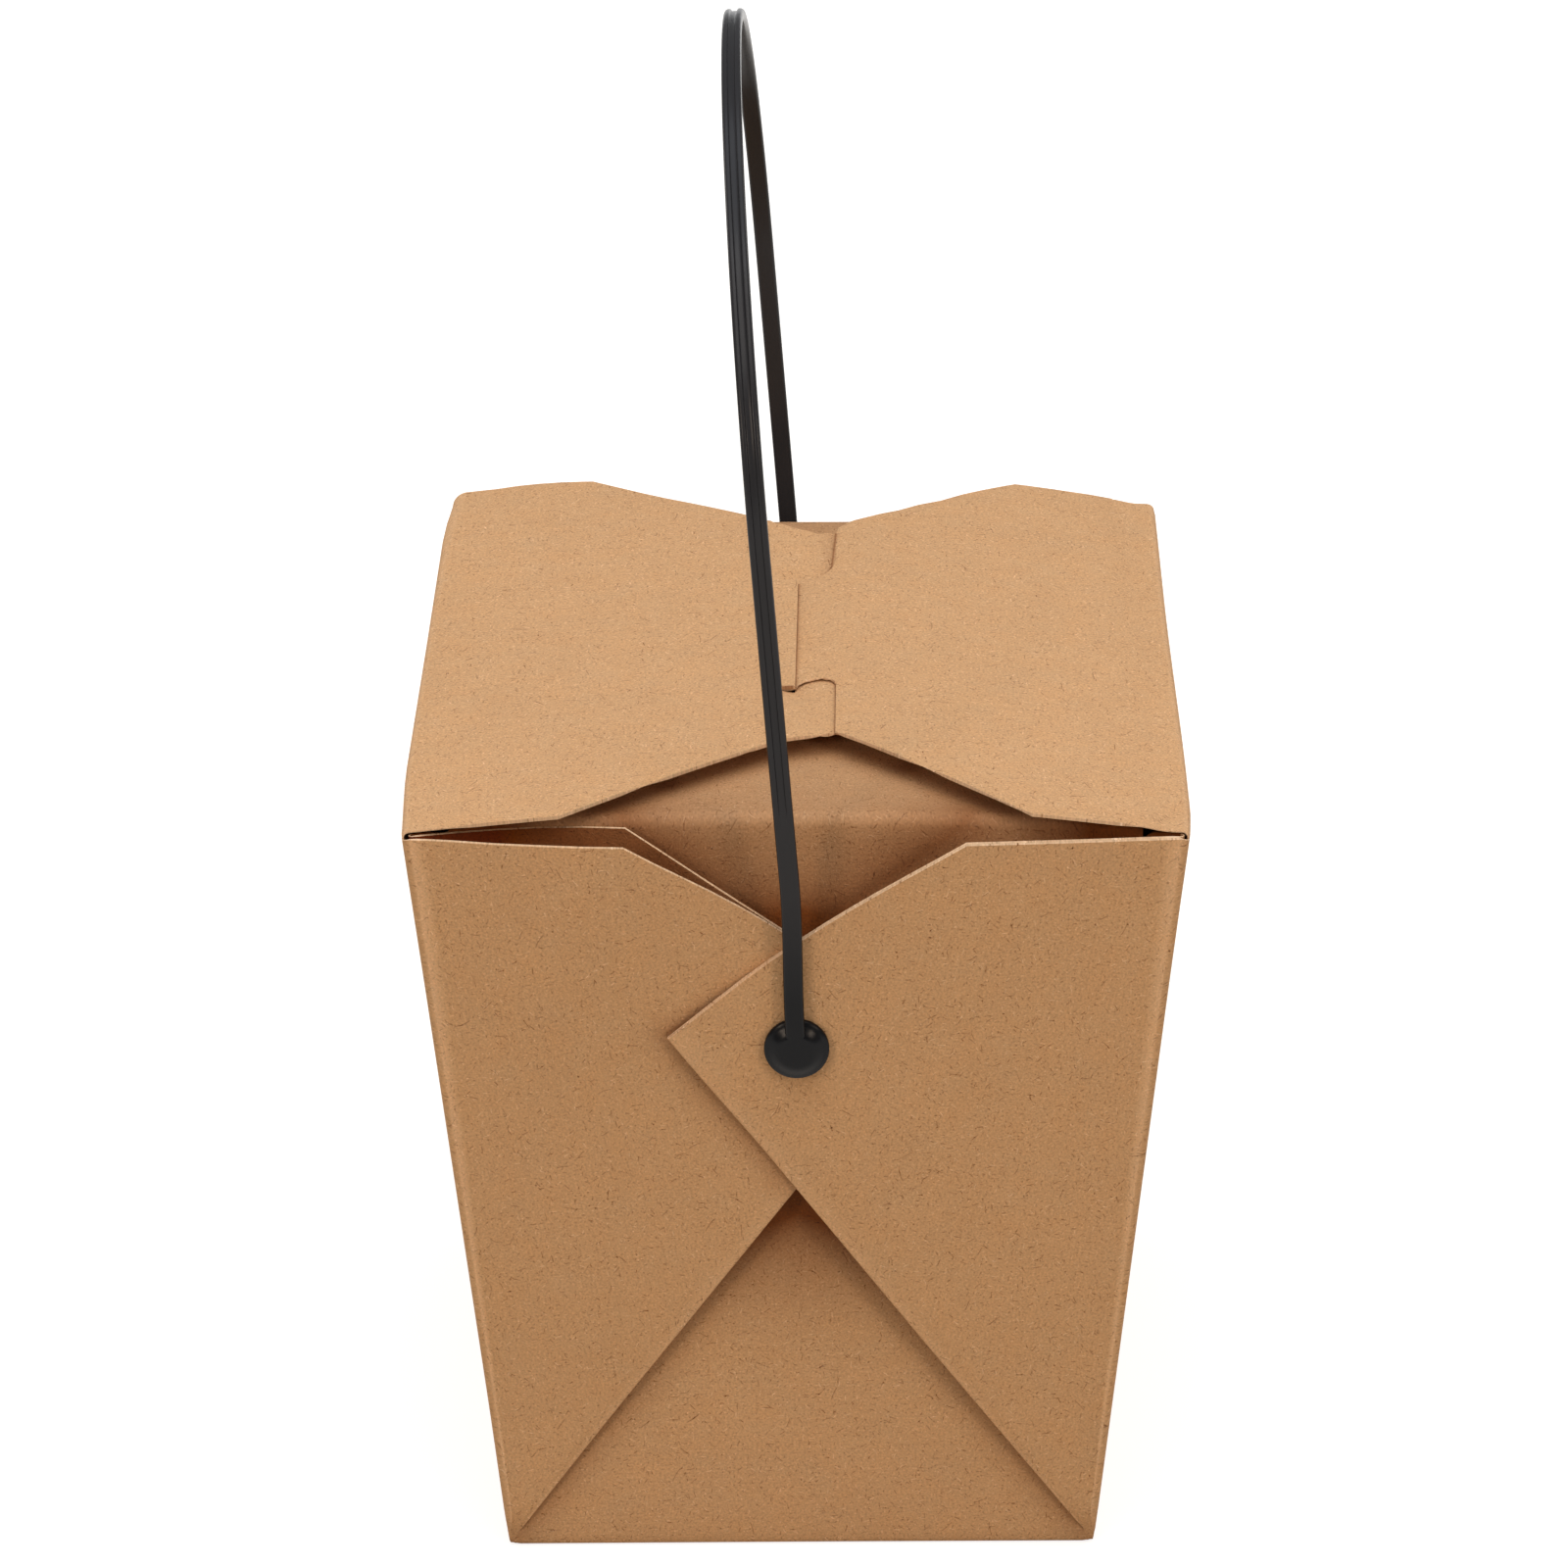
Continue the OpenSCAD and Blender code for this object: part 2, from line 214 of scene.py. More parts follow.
def cut_blank(outline, x_cuts, y_cuts, place):
    """A flat outline cut into fields along x and y, each vertex then moved to place(x, y)."""
    sheet = new_sheet()
    sheet.faces.new([sheet.verts.new((x, y, 0)) for x, y in outline])
    for axis, cuts in ((0, x_cuts), (1, y_cuts)):
        for cut in cuts:
            spot, direction = Vector((0, 0, 0)), Vector((0, 0, 0))
            spot[axis], direction[axis] = cut, 1
            everything = list(sheet.verts) + list(sheet.edges) + list(sheet.faces)
            bmesh.ops.bisect_plane(sheet, geom=everything, dist=1e-4, plane_co=spot, plane_no=direction)
    return settle(sheet, place, lambda vert: (vert.co.x, vert.co.y))


def as_mesh(sheet, name):
    """Writes a bmesh to a new mesh and frees it."""
    mesh = bpy.data.meshes.new(name)
    sheet.to_mesh(mesh)
    sheet.free()
    return mesh


def add_to(whole, part):
    """Adds one bmesh to another and frees it."""
    passing = as_mesh(part, "passing")
    whole.from_mesh(passing)
    bpy.data.meshes.remove(passing)


print("each sheet keeps its flat place in", FLAT_UV, "and its folds in", CREASE)

# %% [markdown]
# A sheet has no thickness until it is whole, because extruding its parts one by one would leave
# walls inside the joints. The parts are merged first. A Solidify modifier then gives the board its
# thickness, with materials of their own for the outer face, the inner face and the cut edge, and a
# narrow Bevel takes the sharpness off the cut. Both are applied, so the board is a plain mesh.

# %% Thickness, cut edges and the body it rides on
JOIN_WITHIN = 0.004
EDGE_SOFT = 0.05
SMOOTH_BELOW, BEVEL_ABOVE = math.radians(38), math.radians(55)


def finish_board(whole, name, body, node, materials):
    """Merges the parts of a sheet, gives it its thickness and soft cut edges, and puts it on its body."""
    bmesh.ops.remove_doubles(whole, verts=whole.verts, dist=JOIN_WITHIN)
    bmesh.ops.dissolve_degenerate(whole, edges=whole.edges, dist=0.001)
    bmesh.ops.recalc_face_normals(whole, faces=whole.faces)
    bmesh.ops.scale(whole, vec=(MM, MM, MM), verts=whole.verts)
    mesh = as_mesh(whole, name)
    for material in materials:
        mesh.materials.append(material)
    board = new_object(name, mesh)
    thickness = board.modifiers.new("thickness", "SOLIDIFY")
    set_all(thickness, thickness=BOARD * MM, offset=0, use_even_offset=True, use_quality_normals=True,
            thickness_clamp=1.2, material_offset=2, material_offset_rim=1)
    soft_edge = board.modifiers.new("soft cut edge", "BEVEL")
    set_all(soft_edge, width=EDGE_SOFT * MM, segments=1, limit_method="ANGLE", angle_limit=BEVEL_ABOVE)
    ready = board.evaluated_get(bpy.context.evaluated_depsgraph_get())
    board.data = bpy.data.meshes.new_from_object(ready)
    board.modifiers.clear()
    bpy.data.meshes.remove(mesh)
    board.data.name = name
    board.data.shade_smooth()
    board.data.set_sharp_from_angle(angle=SMOOTH_BELOW)
    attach(board, body)
    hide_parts(node)
    print(name, "has", len(board.data.polygons), "faces")


print("cut edges are softened by", EDGE_SOFT, "mm")

# %% [markdown]
# ## Shader maths
# A material's pattern is arithmetic on sockets. This small class holds one socket, and Python's own
# operators on it add Math nodes, so a pattern reads like a formula.

# %% The class that wraps a socket
class Signal:
    """The output of a node, with arithmetic."""

    def __init__(self, tree, socket=None):
        self.tree = tree
        self.socket = socket

    def node(self, kind, inputs=None, output=0, **settings):
        """Adds a node: its settings first, then numbers, colours or Signals into its sockets."""
        made = self.tree.nodes.new(kind)
        set_all(made, **settings)
        for name, value in (inputs or {}).items():
            if isinstance(value, Signal):
                self.tree.links.new(value.socket, made.inputs[name])
            else:
                made.inputs[name].default_value = value
        return Signal(self.tree, made.outputs[output] if made.outputs else None)

    def other(self, output):
        """Another output of the same node."""
        return Signal(self.tree, self.socket.node.outputs[output])

    def maths(self, operation, *values, clamp=False):
        return self.node("ShaderNodeMath", dict(enumerate(values)), operation=operation, use_clamp=clamp)

    def vector(self, operation, *values):
        return self.node("ShaderNodeVectorMath", dict(enumerate(values)), operation=operation)

    def __add__(self, other):
        return self.maths("ADD", self, other)

    __radd__ = __add__

    def __sub__(self, other):
        return self.maths("SUBTRACT", self, other)

    def __rsub__(self, other):
        return self.maths("SUBTRACT", other, self)

    def __mul__(self, other):
        return self.maths("MULTIPLY", self, other)

    __rmul__ = __mul__

    def __truediv__(self, other):
        return self.maths("DIVIDE", self, other)

    def __pow__(self, other):
        return self.maths("POWER", self, other)

    def below(self, limit):
        return self.maths("LESS_THAN", self, limit)

    def above(self, limit):
        return self.maths("GREATER_THAN", self, limit)

    def size(self):
        return self.maths("ABSOLUTE", self)

    def kept(self):
        """Held between 0 and 1."""
        return self.maths("ADD", self, 0.0, clamp=True)

    def blend(self, first, second):
        """A colour between two, with this signal as the second one's share."""
        return self.node("ShaderNodeMix", {0: self, 6: first, 7: second}, output=2, data_type="RGBA")


def new_material(name):
    material = bpy.data.materials.new(name)
    material.use_nodes = True
    material.node_tree.nodes.clear()
    return material, Signal(material.node_tree)


def finish_shader(graph, shader, kind="ShaderNodeOutputMaterial"):
    """Links a shader to the output of its material or world."""
    graph.node(kind, {"Surface": shader})


print("shader class ready")

# %% [markdown]
# ## Kraft board
# Kraft paper is unbleached: a warm brown with soft clouds, a fine grain, and thin curved fibres a
# millimetre or two long, most a little darker than the sheet and some paler. An image would give
# them at once, but this part carries no images. Noise alone gives clouds and no hairs. So each cell
# of a Voronoi texture draws one hair in its own direction: the distance from a slightly bent line
# through the cell's point. A few such layers of different sizes make the felt of fibres.

# %% Fibre layers
def voronoi_cells(graph, place, cell, shift):
    """The shifted place, the distance to its cell's point, and three chances drawn for that cell."""
    moved = graph.vector("ADD", place, shift)
    inputs = {"Vector": moved, "Scale": 1 / cell, "Randomness": 1.0}
    distance = graph.node("ShaderNodeTexVoronoi", inputs, voronoi_dimensions="2D")
    return moved, distance, graph.node("ShaderNodeSeparateColor", {0: distance.other("Color")})


def hairs(graph, place, cell, shift, share, length, width, bend):
    """One thin bent hair in a share of the cells, 1 on its line and 0 beside it. Sizes in millimetres."""
    moved, distance, chance = voronoi_cells(graph, place, cell, shift)
    from_centre = graph.vector("SUBTRACT", moved, distance.other("Position"))
    offset = graph.node("ShaderNodeSeparateXYZ", {0: from_centre})
    across = offset.other(1)
    green, blue = chance.other(1), chance.other(2)
    angle = chance * (2 * math.pi)
    cosine, sine = graph.maths("COSINE", angle), graph.maths("SINE", angle)
    along = offset * cosine + across * sine
    beside = across * cosine - offset * sine + (blue - 0.5) * bend * along * along
    line = 1 - beside.size() / width
    ends = (length * (0.4 + 0.6 * blue) / 2 - along.size()) * 4
    return line.kept() * ends.kept() * green.below(share)


def flecks(graph, place, cell, shift, share, radius):
    """Small round flecks in a share of the cells."""
    _, distance, chance = voronoi_cells(graph, place, cell, shift)
    return (1 - distance * (cell / radius)).kept() * chance.below(share)


def cloud(graph, place, scale, detail=2.0, stretch=(1, 1, 1)):
    """Soft noise about 0, from -1 to 1, with a scale in patches per millimetre."""
    pulled = graph.vector("MULTIPLY", place, stretch)
    inputs = {"Vector": pulled, "Scale": scale, "Detail": detail, "Roughness": 0.55}
    return (graph.node("ShaderNodeTexNoise", inputs) - 0.5) * 2


print("hairs, flecks and clouds are ready")

# %% [markdown]
# ## Walls and corner webs
# Going round the pail at one height, the board runs along a side wall, turns the corner as the outer
# half of a web, folds back at the diagonal as the inner half, folds back again at the corner as the
# end wall, and so on round to the start. So the four walls and the four double webs are one long
# grid: its columns go round, its rows go up. A web's rows fan out from its foot, because both folds
# start there. Only the outline's cut edge, the layers' distances and the fold arcs need formulas.

# %% The web's cut outline and its place in the stack
WEB_TOP_LEN, WEB_TOP_DROP = 27.5, 0.8
WEB_REACH, WEB_BOW = 16.5, 1.2
WEB_TURN = 0.3125
FOOT_WIDTH = 1.5
corner_on_end = math.atan(SIDE_LEAN / math.hypot(1, END_LEAN))
corner_on_side = math.atan(END_LEAN / math.hypot(1, SIDE_LEAN))
diagonal_angle = (math.pi / 2 - corner_on_end - corner_on_side) / 2 - corner_on_end
WEB_TIP_Z = (BOTTOM_W / 2 + WEB_REACH) / (math.tan(diagonal_angle) * math.hypot(1, END_LEAN))
FOLD_R = 0.95
TUCK_IN = 1.05
DIAGONAL_IN = LAYER / 2 + BOARD / 2
RIDE_X = 17.0
TIP_OUT, TIP_OUT_FROM = 1.1, -3.0
LEFT_SHOULDER_OUT, RIGHT_SHOULDER_OUT = 2.1, 0.4
INNER_FOLLOWS = 0.9
TOP_BOW, LOW_BOW, BOW_START = 5.2, 2.0, 72.0
PIN_HOLDS_WITHIN = 26

web_foot = Vector((BOTTOM_W / 2, 0.0))
web_corner = Vector((half_w(WALL_TOP), WALL_TOP))
web_shoulder = Vector((TOP_W / 2 - WEB_TOP_LEN, PAIL_H - WEB_TOP_DROP))
web_tip = Vector((-WEB_REACH, WEB_TIP_Z))
diagonal_in = Vector((web_tip.y, -(web_tip.x - web_foot.x))).normalized()
CROSSING_Z = web_tip.y * BOTTOM_W / 2 / (BOTTOM_W / 2 + WEB_REACH)
NOTCH_Z = 92.0


def web_edge(a):
    """The web's free edge as x and height: the corner at a = 0, the shoulder, the tip at a = 1."""
    if a <= WEB_TURN:
        return web_corner.lerp(web_shoulder, a / WEB_TURN)
    t = (a - WEB_TURN) / (1 - WEB_TURN)
    along = (web_tip - web_shoulder).normalized()
    return web_shoulder.lerp(web_tip, t) + Vector((along.y, -along.x)) * WEB_BOW * math.sin(math.pi * t)


def fit(z):
    """Layers lie in one at the foot of a corner and reach their full distance a little higher."""
    return smooth((z - FLOOR_MID) / 6)


def end_bow(x, z):
    """How far an end wall gives inwards: most at its free top, not at all where the pin holds it."""
    across = max(0.0, 1 - (abs(x) / half_w(z)) ** 3)
    above = TOP_BOW * max(0.0, (z - BOW_START) / (PAIL_H - BOW_START)) ** 1.25
    up = min(1.0, z / BUTTON_Z)
    below = LOW_BOW * 6.75 * up * up * (1 - up)
    return across * (above + below) * smooth(math.hypot(x, z - BUTTON_Z) / PIN_HOLDS_WITHIN)


def layer_depth(side, half, a, b, x, z):
    """Distance of a web half's middle from the wall's outer face. half: 2 is the outer one, 1 the inner."""
    ride = 0.0
    if side > 0:
        ride = min(1.0, max(0.0, (half_w(z) - x) / (half_w(z) - RIDE_X)))
    depth = (half + 2 * ride) * LAYER * fit(z) - BOARD / 2
    if side > 0:
        depth += TIP_OUT * smooth((TIP_OUT_FROM - x) / 12)
    spread = 0.24 if a < WEB_TURN else 0.19
    at_shoulder = math.exp(-(((a - WEB_TURN) / spread) ** 2)) * smooth((b - 0.55) / 0.45)
    if half == 2 or side > 0:
        shoulder_out = LEFT_SHOULDER_OUT if side < 0 else RIGHT_SHOULDER_OUT
        return depth + shoulder_out * at_shoulder * smooth(a / 0.12)
    return depth - INNER_FOLLOWS * end_bow(x, z) * (1 - smooth((a - 0.16) / 0.5))


def web_point(side, half, a, b):
    """A web half at the near end, as x on the right-hand side, depth and height."""
    edge_x, edge_z = web_edge(a)
    z = between(FLOOR_MID, edge_z, b)
    x = half_w(z) - b * (half_w(edge_z) - edge_x)
    x -= a * max(0.0, FOOT_WIDTH * smooth((z - FLOOR_MID) / 0.9) - b * (half_w(WEB_TIP_Z) + WEB_REACH))
    inset = BOARD / 2 + FOLD_R * fit(z) if half == 2 else BOARD / 2 + TUCK_IN * fit(z)
    x -= inset * (1 - a) ** 3
    near_diagonal = DIAGONAL_IN * fit(z) * max(0.0, (a - 0.8) / 0.2) ** 2
    x += near_diagonal * diagonal_in.x
    z += near_diagonal * diagonal_in.y
    return x, layer_depth(side, half, a, b, x, z), z


print("web tip at", tuple(round(c, 1) for c in web_tip), "end wall gives in by", round(end_bow(0, 106), 1))

# %% [markdown]
# The flat place of each point is where it lies on the uncut blank: the bottom in the middle, a wall
# beyond each of its edges, and a web's two halves between two walls, turned about the bottom's
# corner. The paper's grain is drawn there, and so is the shade beside edges that lie over the board.

# %% Places on the flat blank
def web_flat(half, x, z):
    """Flat place of a web point: polar about the foot, measured from the wall that this half hangs on."""
    radius = math.hypot(x - BOTTOM_W / 2, z)
    from_corner = corner_on_end - math.atan2(x - BOTTOM_W / 2, z)
    angle = -corner_on_side - from_corner if half == 2 else corner_on_end - math.pi / 2 + from_corner
    return BOTTOM_W / 2 + radius * math.cos(angle), -BOTTOM_D / 2 + radius * math.sin(angle)


print("a web's tip lies flat at", [round(c, 1) for c in web_flat(2, web_tip.x, web_tip.y)])

# %% [markdown]
# ## The kraft material
# Where one layer comes out from under another, little light gets in, and the photo is darkest there.
# The lamps alone leave those places too light, because the layers lie in tenths of a millimetre. An
# ambient occlusion node could find such corners, but it casts more rays from every point. So shade
# is painted into the board's colour, darker along the known edges that lie over it, on the flat blank
# where they are straight lines: under the webs, between a web's halves, and as thin lines along the top's
# lock.

# %% Painted shade beside the edges that lie over the board
# A top flap's blank is measured from the pail's middle: its fold runs from FOLD_FROM in to FOLD_TO.
SLIT_X, LEG, RELIEF_R = -0.4, 4.0, 2.6
TONGUE_SHARE = 0.3277
FLAP_HALF = TOP_D / 2 - 0.3
FOLD_FROM, FOLD_TO = 50.0, 43.0
FLAP_FLAT = BOTTOM_W / 2 + PAIL_H + FOLD_FROM
SOFTLY = 2.2


def near_line(px, py, start, stop, reach):
    """1 on the line between two flat places, falling softly to 0 at a distance from it."""
    length = math.dist(start, stop)
    ux, uy = (stop[0] - start[0]) / length, (stop[1] - start[1]) / length
    along = (px - start[0]) * ux + (py - start[1]) * uy
    beside = (py - start[1]) * ux - (px - start[0]) * uy
    beyond = (along - length / 2).size() - length / 2
    past = beyond.maths("MAXIMUM", beyond, 0.0)
    distance = (beside * beside + past * past) ** 0.5
    return (1 - distance / reach).kept() ** SOFTLY


def end_flat(x, z):
    return x, -BOTTOM_D / 2 - z


def wall_painted_shade(px, py):
    """Painted shade on the outer face of an end wall and its inner flap, under the webs and the top flaps.
    """
    shoulder = tuple(web_shoulder)
    ends, height = px.size(), -BOTTOM_D / 2 - py
    diagonal = near_line(ends, py, end_flat(BOTTOM_W / 2, 0), end_flat(0, CROSSING_Z), 6.5)
    apex = near_line(ends, py, end_flat(0, CROSSING_Z + 3), end_flat(0, CROSSING_Z - 1), 33.0)
    cut = near_line(ends, py, end_flat(*shoulder), end_flat(0, NOTCH_Z), 12.0)
    notch = near_line(ends, py, end_flat(0, NOTCH_Z - 2), end_flat(0, NOTCH_Z + 3), 11.0)
    high = ((height - 84) / 12).kept() * (1 - ((height - 105) / 14).kept() * 0.5)
    beside = ((ends - 27) / 13).kept() ** 1.3 * ((height - 98) / 6).kept()
    return (diagonal * 0.40 + apex * 1.20 + cut * 0.42 + notch * 0.50 + high * 0.42 + beside * 0.90).kept()


def lock_painted_shade(across, y):
    """Painted shade: thin dark lines where one top flap comes out from under the other, and along the
    slit's leg.
    """
    slit_end = TONGUE_SHARE * FLAP_HALF
    left, right = -FLAP_FLAT - SLIT_X, FLAP_FLAT - SLIT_X
    arc_x, arc_y = across - (left - 0.1 - RELIEF_R), y + (slit_end - 0.3)
    arc = ((arc_x * arc_x + arc_y * arc_y) ** 0.5 - RELIEF_R).size()
    lines = (1 - arc / 0.5).kept() ** SOFTLY * arc_y.above(0.0)
    for start, stop in (
        ((left - 0.1 - 2 * RELIEF_R, 0.3 - slit_end), (left - 5.3, -32.5)),
        ((left + LEG, -slit_end), (left + 0.4, -slit_end)),
        ((left - 1.4, 17.8), (left - 3.3, 19.4)),
        ((left - 3.3, 19.4), (left - 4.5, 22.0)),
        ((left - 4.5, 22.0), (left - 5.0, 33.3)),
        ((right - 0.05, -slit_end), (right - 0.05, slit_end)),
    ):
        lines = lines + near_line(across, y, start, stop, 0.55)
    soft = near_line(across, y, (left - 3.9, 20.5), (left - 4.6, 33.3), 2.6) * 0.22
    return (lines * 0.8 + soft).kept() * 0.85


def painted_shade(graph, place, outside):
    """How much painted shade darkens the board, from 0 to 1, at its outer or its inner face."""
    parts = graph.node("ShaderNodeSeparateXYZ", {0: place})
    flat_y = parts.other(1)
    to_near = 1 - flat_y.above(0.0) * 2
    px, py = parts * to_near, flat_y * to_near
    notch = (0.0, NOTCH_Z)
    if outside:
        on_wall = px.size().below(BOTTOM_W / 2 + 10.3) * py.below(-BOTTOM_D / 2)
        stack = (notch, (WEB_REACH, WEB_TIP_Z), (0.0, CROSSING_Z))
        top, tip, low = [(-u, v) for u, v in (web_flat(2, *place_on_web) for place_on_web in stack)]
        thin, wide = near_line(px, py, top, tip, 2.6) * 0.62, near_line(px, py, tip, low, 6.0) * 0.42
        over = thin.maths("MAXIMUM", thin, wide)
        return (on_wall * wall_painted_shade(px, py) + over + lock_painted_shade(parts, flat_y)).kept() * 0.92
    stack = ((half_w(PAIL_H), PAIL_H), tuple(web_shoulder), notch)
    corner, shoulder, low = [(-u, v) for u, v in (web_flat(1, *place_on_web) for place_on_web in stack)]
    edge = near_line(px, py, corner, shoulder, 12.0) * 1.5 + near_line(px, py, shoulder, low, 10.0) * 1.1
    deep = near_line(px, py, corner, (corner[0], corner[1] + 0.5), 30.0)
    return (edge.kept() * 0.80 + deep * 0.60).kept()


print("the middle of the closed top lies flat at", FLAP_FLAT, "mm from the bottom's middle")

# %% The kraft material
# Of each layer of hairs: cell, shift, share of the cells, length, width, bend and strength.
DARK_HAIRS = (
    (1.9, (3.1, 7.7, 0), 0.45, 1.4, 0.10, 0.50, 0.56),
    (1.2, (13.9, 2.3, 0), 0.60, 0.9, 0.10, 0.70, 0.60),
    (4.2, (5.3, 31.1, 0), 0.25, 2.6, 0.10, 0.25, 0.55),
    (0.7, (41.7, 17.9, 0), 0.55, 0.4, 0.12, 0.90, 0.85),
)
PALE_HAIRS = (
    (1.6, (23.3, 5.9, 0), 0.50, 1.1, 0.10, 0.60, 0.62),
    (0.7, (9.1, 47.3, 0), 0.55, 0.4, 0.12, 0.80, 0.85),
)


def kraft(name, colour, outside=True):
    """Kraft board of one colour, with painted shade for its outer or its inner face."""
    material, graph = new_material(name)
    place = graph.node("ShaderNodeUVMap", uv_map=FLAT_UV)
    crease = graph.node("ShaderNodeAttribute", output="Fac", attribute_name=CREASE)
    dark_hairs, pale_hairs = (
        sum(hairs(graph, place, *sizes) * strength for *sizes, strength in layers)
        for layers in (DARK_HAIRS, PALE_HAIRS)
    )
    dark_flecks = flecks(graph, place, 2.2, (11.0, 19.0, 0), 0.14, 0.17)
    pale_flecks = flecks(graph, place, 2.2, (37.0, 29.0, 0), 0.10, 0.14)
    clouds = (
        cloud(graph, place, 0.13, detail=3.0) * 0.055
        + cloud(graph, place, 0.9, detail=2.0) * 0.035
        + cloud(graph, place, 1.1, detail=2.0, stretch=(0.2, 1, 1)) * 0.060
    )
    grain = cloud(graph, place, 3.2, detail=3.0)
    felt = cloud(graph, place, 0.25, detail=2.0) * 0.9 + 0.95
    felt = felt.maths("MAXIMUM", felt, 0.25)
    dark = (dark_hairs * 0.95 + dark_flecks * 0.70) * felt
    pale = (pale_hairs * 0.80 + pale_flecks * 0.68) * felt
    even = 1 + clouds + grain * 0.46
    painted_shade_share = painted_shade(graph, place, outside)
    # Lighter along creases; painted shade darkens green and blue more than red.
    shares = {
        0: (even - dark * 0.80 + pale * 0.75 + crease * 0.26) * (1 - painted_shade_share * 0.77),
        1: (even - dark * 0.96 + pale * 1.05 + crease * 0.34) * (1 - painted_shade_share * 0.94),
        2: (even - dark * 1.10 + pale * 1.50 + crease * 0.48) * (1 - painted_shade_share * 1.05),
    }
    base = graph.vector("MULTIPLY", graph.node("ShaderNodeCombineXYZ", shares), colour)
    warmth = (0.5 + cloud(graph, place, 0.22, detail=2.0) * 0.8).kept()
    tinted = warmth.blend(base, graph.vector("MULTIPLY", base, (1.03, 0.97, 0.90)))
    relief = grain * 0.6 + (pale_hairs * 0.8 + dark_hairs * 0.5) * felt
    bump = graph.node("ShaderNodeBump", {"Strength": 0.8, "Distance": 0.00010, "Height": relief})
    shader = graph.node("ShaderNodeBsdfPrincipled", {
        "Base Color": tinted, "Roughness": 0.78 + grain * 0.05, "Specular IOR Level": 0.25, "Normal": bump,
    })
    finish_shader(graph, shader)
    return material


KRAFT_COLOUR = (0.592, 0.354, 0.181)
kraft_board = (
    kraft("kraft_face", KRAFT_COLOUR),
    kraft("kraft_cut_edge", (0.66, 0.45, 0.28)),
    kraft("kraft_inside", KRAFT_COLOUR, outside=False),
)
print("kraft materials:", [material.name for material in kraft_board])

# %% [markdown]
# ## The ring as a grid
# Now the ring's columns are listed one by one, each with the panel that it stands on and how far
# along it. An even grid would waste faces on the flat panels, so those get few columns and every
# fold five on its arc. The rows lie closest near the table, where the webs start in a point, and
# near the top, where the walls bulge.

# %% Columns and rows of the ring
SIDE_STEPS = [0, 0.09, 0.18, 0.26, TONGUE_SHARE, 0.42, 0.51, 0.6, 0.69, 0.78, 0.86, 0.92, 0.97, 1]
WEB_STEPS = [0, 0.010, 0.026] + [i / 16 for i in range(1, 17)]
INNER_FLAP_W = 87.0
END_LAST = INNER_FLAP_W / 2 / (half_w(WALL_TOP) - BOARD / 2 - TUCK_IN)
END_STEPS = [1, 0.97, 0.93] + [END_LAST * (1 - i / 10) for i in range(11)]
ARC = [i / 6 for i in range(1, 6)]

half_ring = (
    [("side", 1, t) for t in SIDE_STEPS]
    + [("corner", 1, t) for t in ARC]
    + [("outer", 1, a) for a in WEB_STEPS]
    + [("diagonal", 1, t) for t in ARC]
    + [("inner", 1, a) for a in reversed(WEB_STEPS)]
    + [("tuck", 1, t) for t in ARC]
    + [("end", 1, c) for c in END_STEPS]
)
half_ring += [(panel, -1, t) for panel, _, t in reversed(half_ring[:-1])]
ROWS = (
    [0, 0.0008, 0.003, 0.0065, 0.012, 0.02, 0.03, 0.042, 0.056, 0.075]
    + [0.1 + 0.03 * i for i in range(26)]
    + [0.87, 0.89, 0.91, 0.93, 0.945, 0.96, 0.972, 0.984, 0.993, 1]
)
print(len(half_ring), "columns in half the ring,", len(ROWS), "rows")

# %% [markdown]
# The two top flaps close as one low arch, because the board springs back at its folds. The left
# one's fold is crisp in front, and softer and raised behind, so the height of its wall changes too.
# A finished box could be bent into that shape, but its edges would then drift from their places. So
# the arch and the fold come first, and the walls reach up to meet them.

# %% Heights where the walls end
RIGHT_TOP, END_TOP = 107.85, 107.2
ARCH_RISE = 3.6
ARCH_SLOPE = ARCH_RISE * math.pi / 2 / (TOP_W / 2)
LEFT_CRISP_R, LEFT_SOFT_R = 0.8, 2.3
LEFT_RAISE = 1.8


def arch_z(x):
    """Upper face of the closed top: one low arch from fold to fold."""
    return PAIL_H + ARCH_RISE * math.cos(math.pi / 2 * x / (TOP_W / 2))


def left_fold_r(y):
    """The left flap's fold is crisp in front and soft towards the far corner."""
    return between(LEFT_CRISP_R, LEFT_SOFT_R, smooth((y - 8) / 44))


def left_raise(x, y):
    """The left flap springs up a little towards its far corner."""
    return LEFT_RAISE * smooth((y - 6) / 46) * (1 - 0.62 * smooth((x + 38) / 20))


def left_fold(y):
    """Start of the left flap's fold, its centre and its turn, in the x-z plane, for one y."""
    radius = left_fold_r(y)
    lean, rise = math.atan(SIDE_LEAN), math.atan(ARCH_SLOPE)
    in_from_wall = radius * (math.cos(lean) - math.sin(rise)) + radius * SIDE_LEAN
    end_x = -half_w(PAIL_H) - fold_bulge(-1, y) + BOARD / 2 + in_from_wall
    start_z = arch_z(end_x) + left_raise(end_x, y) - BOARD / 2 - radius * (math.sin(lean) + math.cos(rise))
    start_x = -side_x(-1, y, start_z)
    centre = (start_x + radius * math.cos(lean), start_z + radius * math.sin(lean))
    return radius, (start_x, start_z), centre, lean, math.pi / 2 - rise


def side_top(wall, y):
    """Height where a side wall ends and its flap's fold begins."""
    return left_fold(y)[1][1] if wall < 0 else RIGHT_TOP


def end_top(c):
    """Height where an end wall ends: lower where the inner end flap's fold begins."""
    return between(END_TOP, WALL_TOP, smooth((abs(c) - END_LAST) / (0.35 * (1 - END_LAST))))


print("left wall ends at", [round(side_top(-1, y), 2) for y in (-50, 0, 50)], "mm from front to back")

# %% [markdown]
# The bottom fold is round too. Instead of an arc of its own, everything near the table is drawn
# inwards by what a small circle leaves out, webs and all.

# %% The bottom fold
BOTTOM_R = 0.55


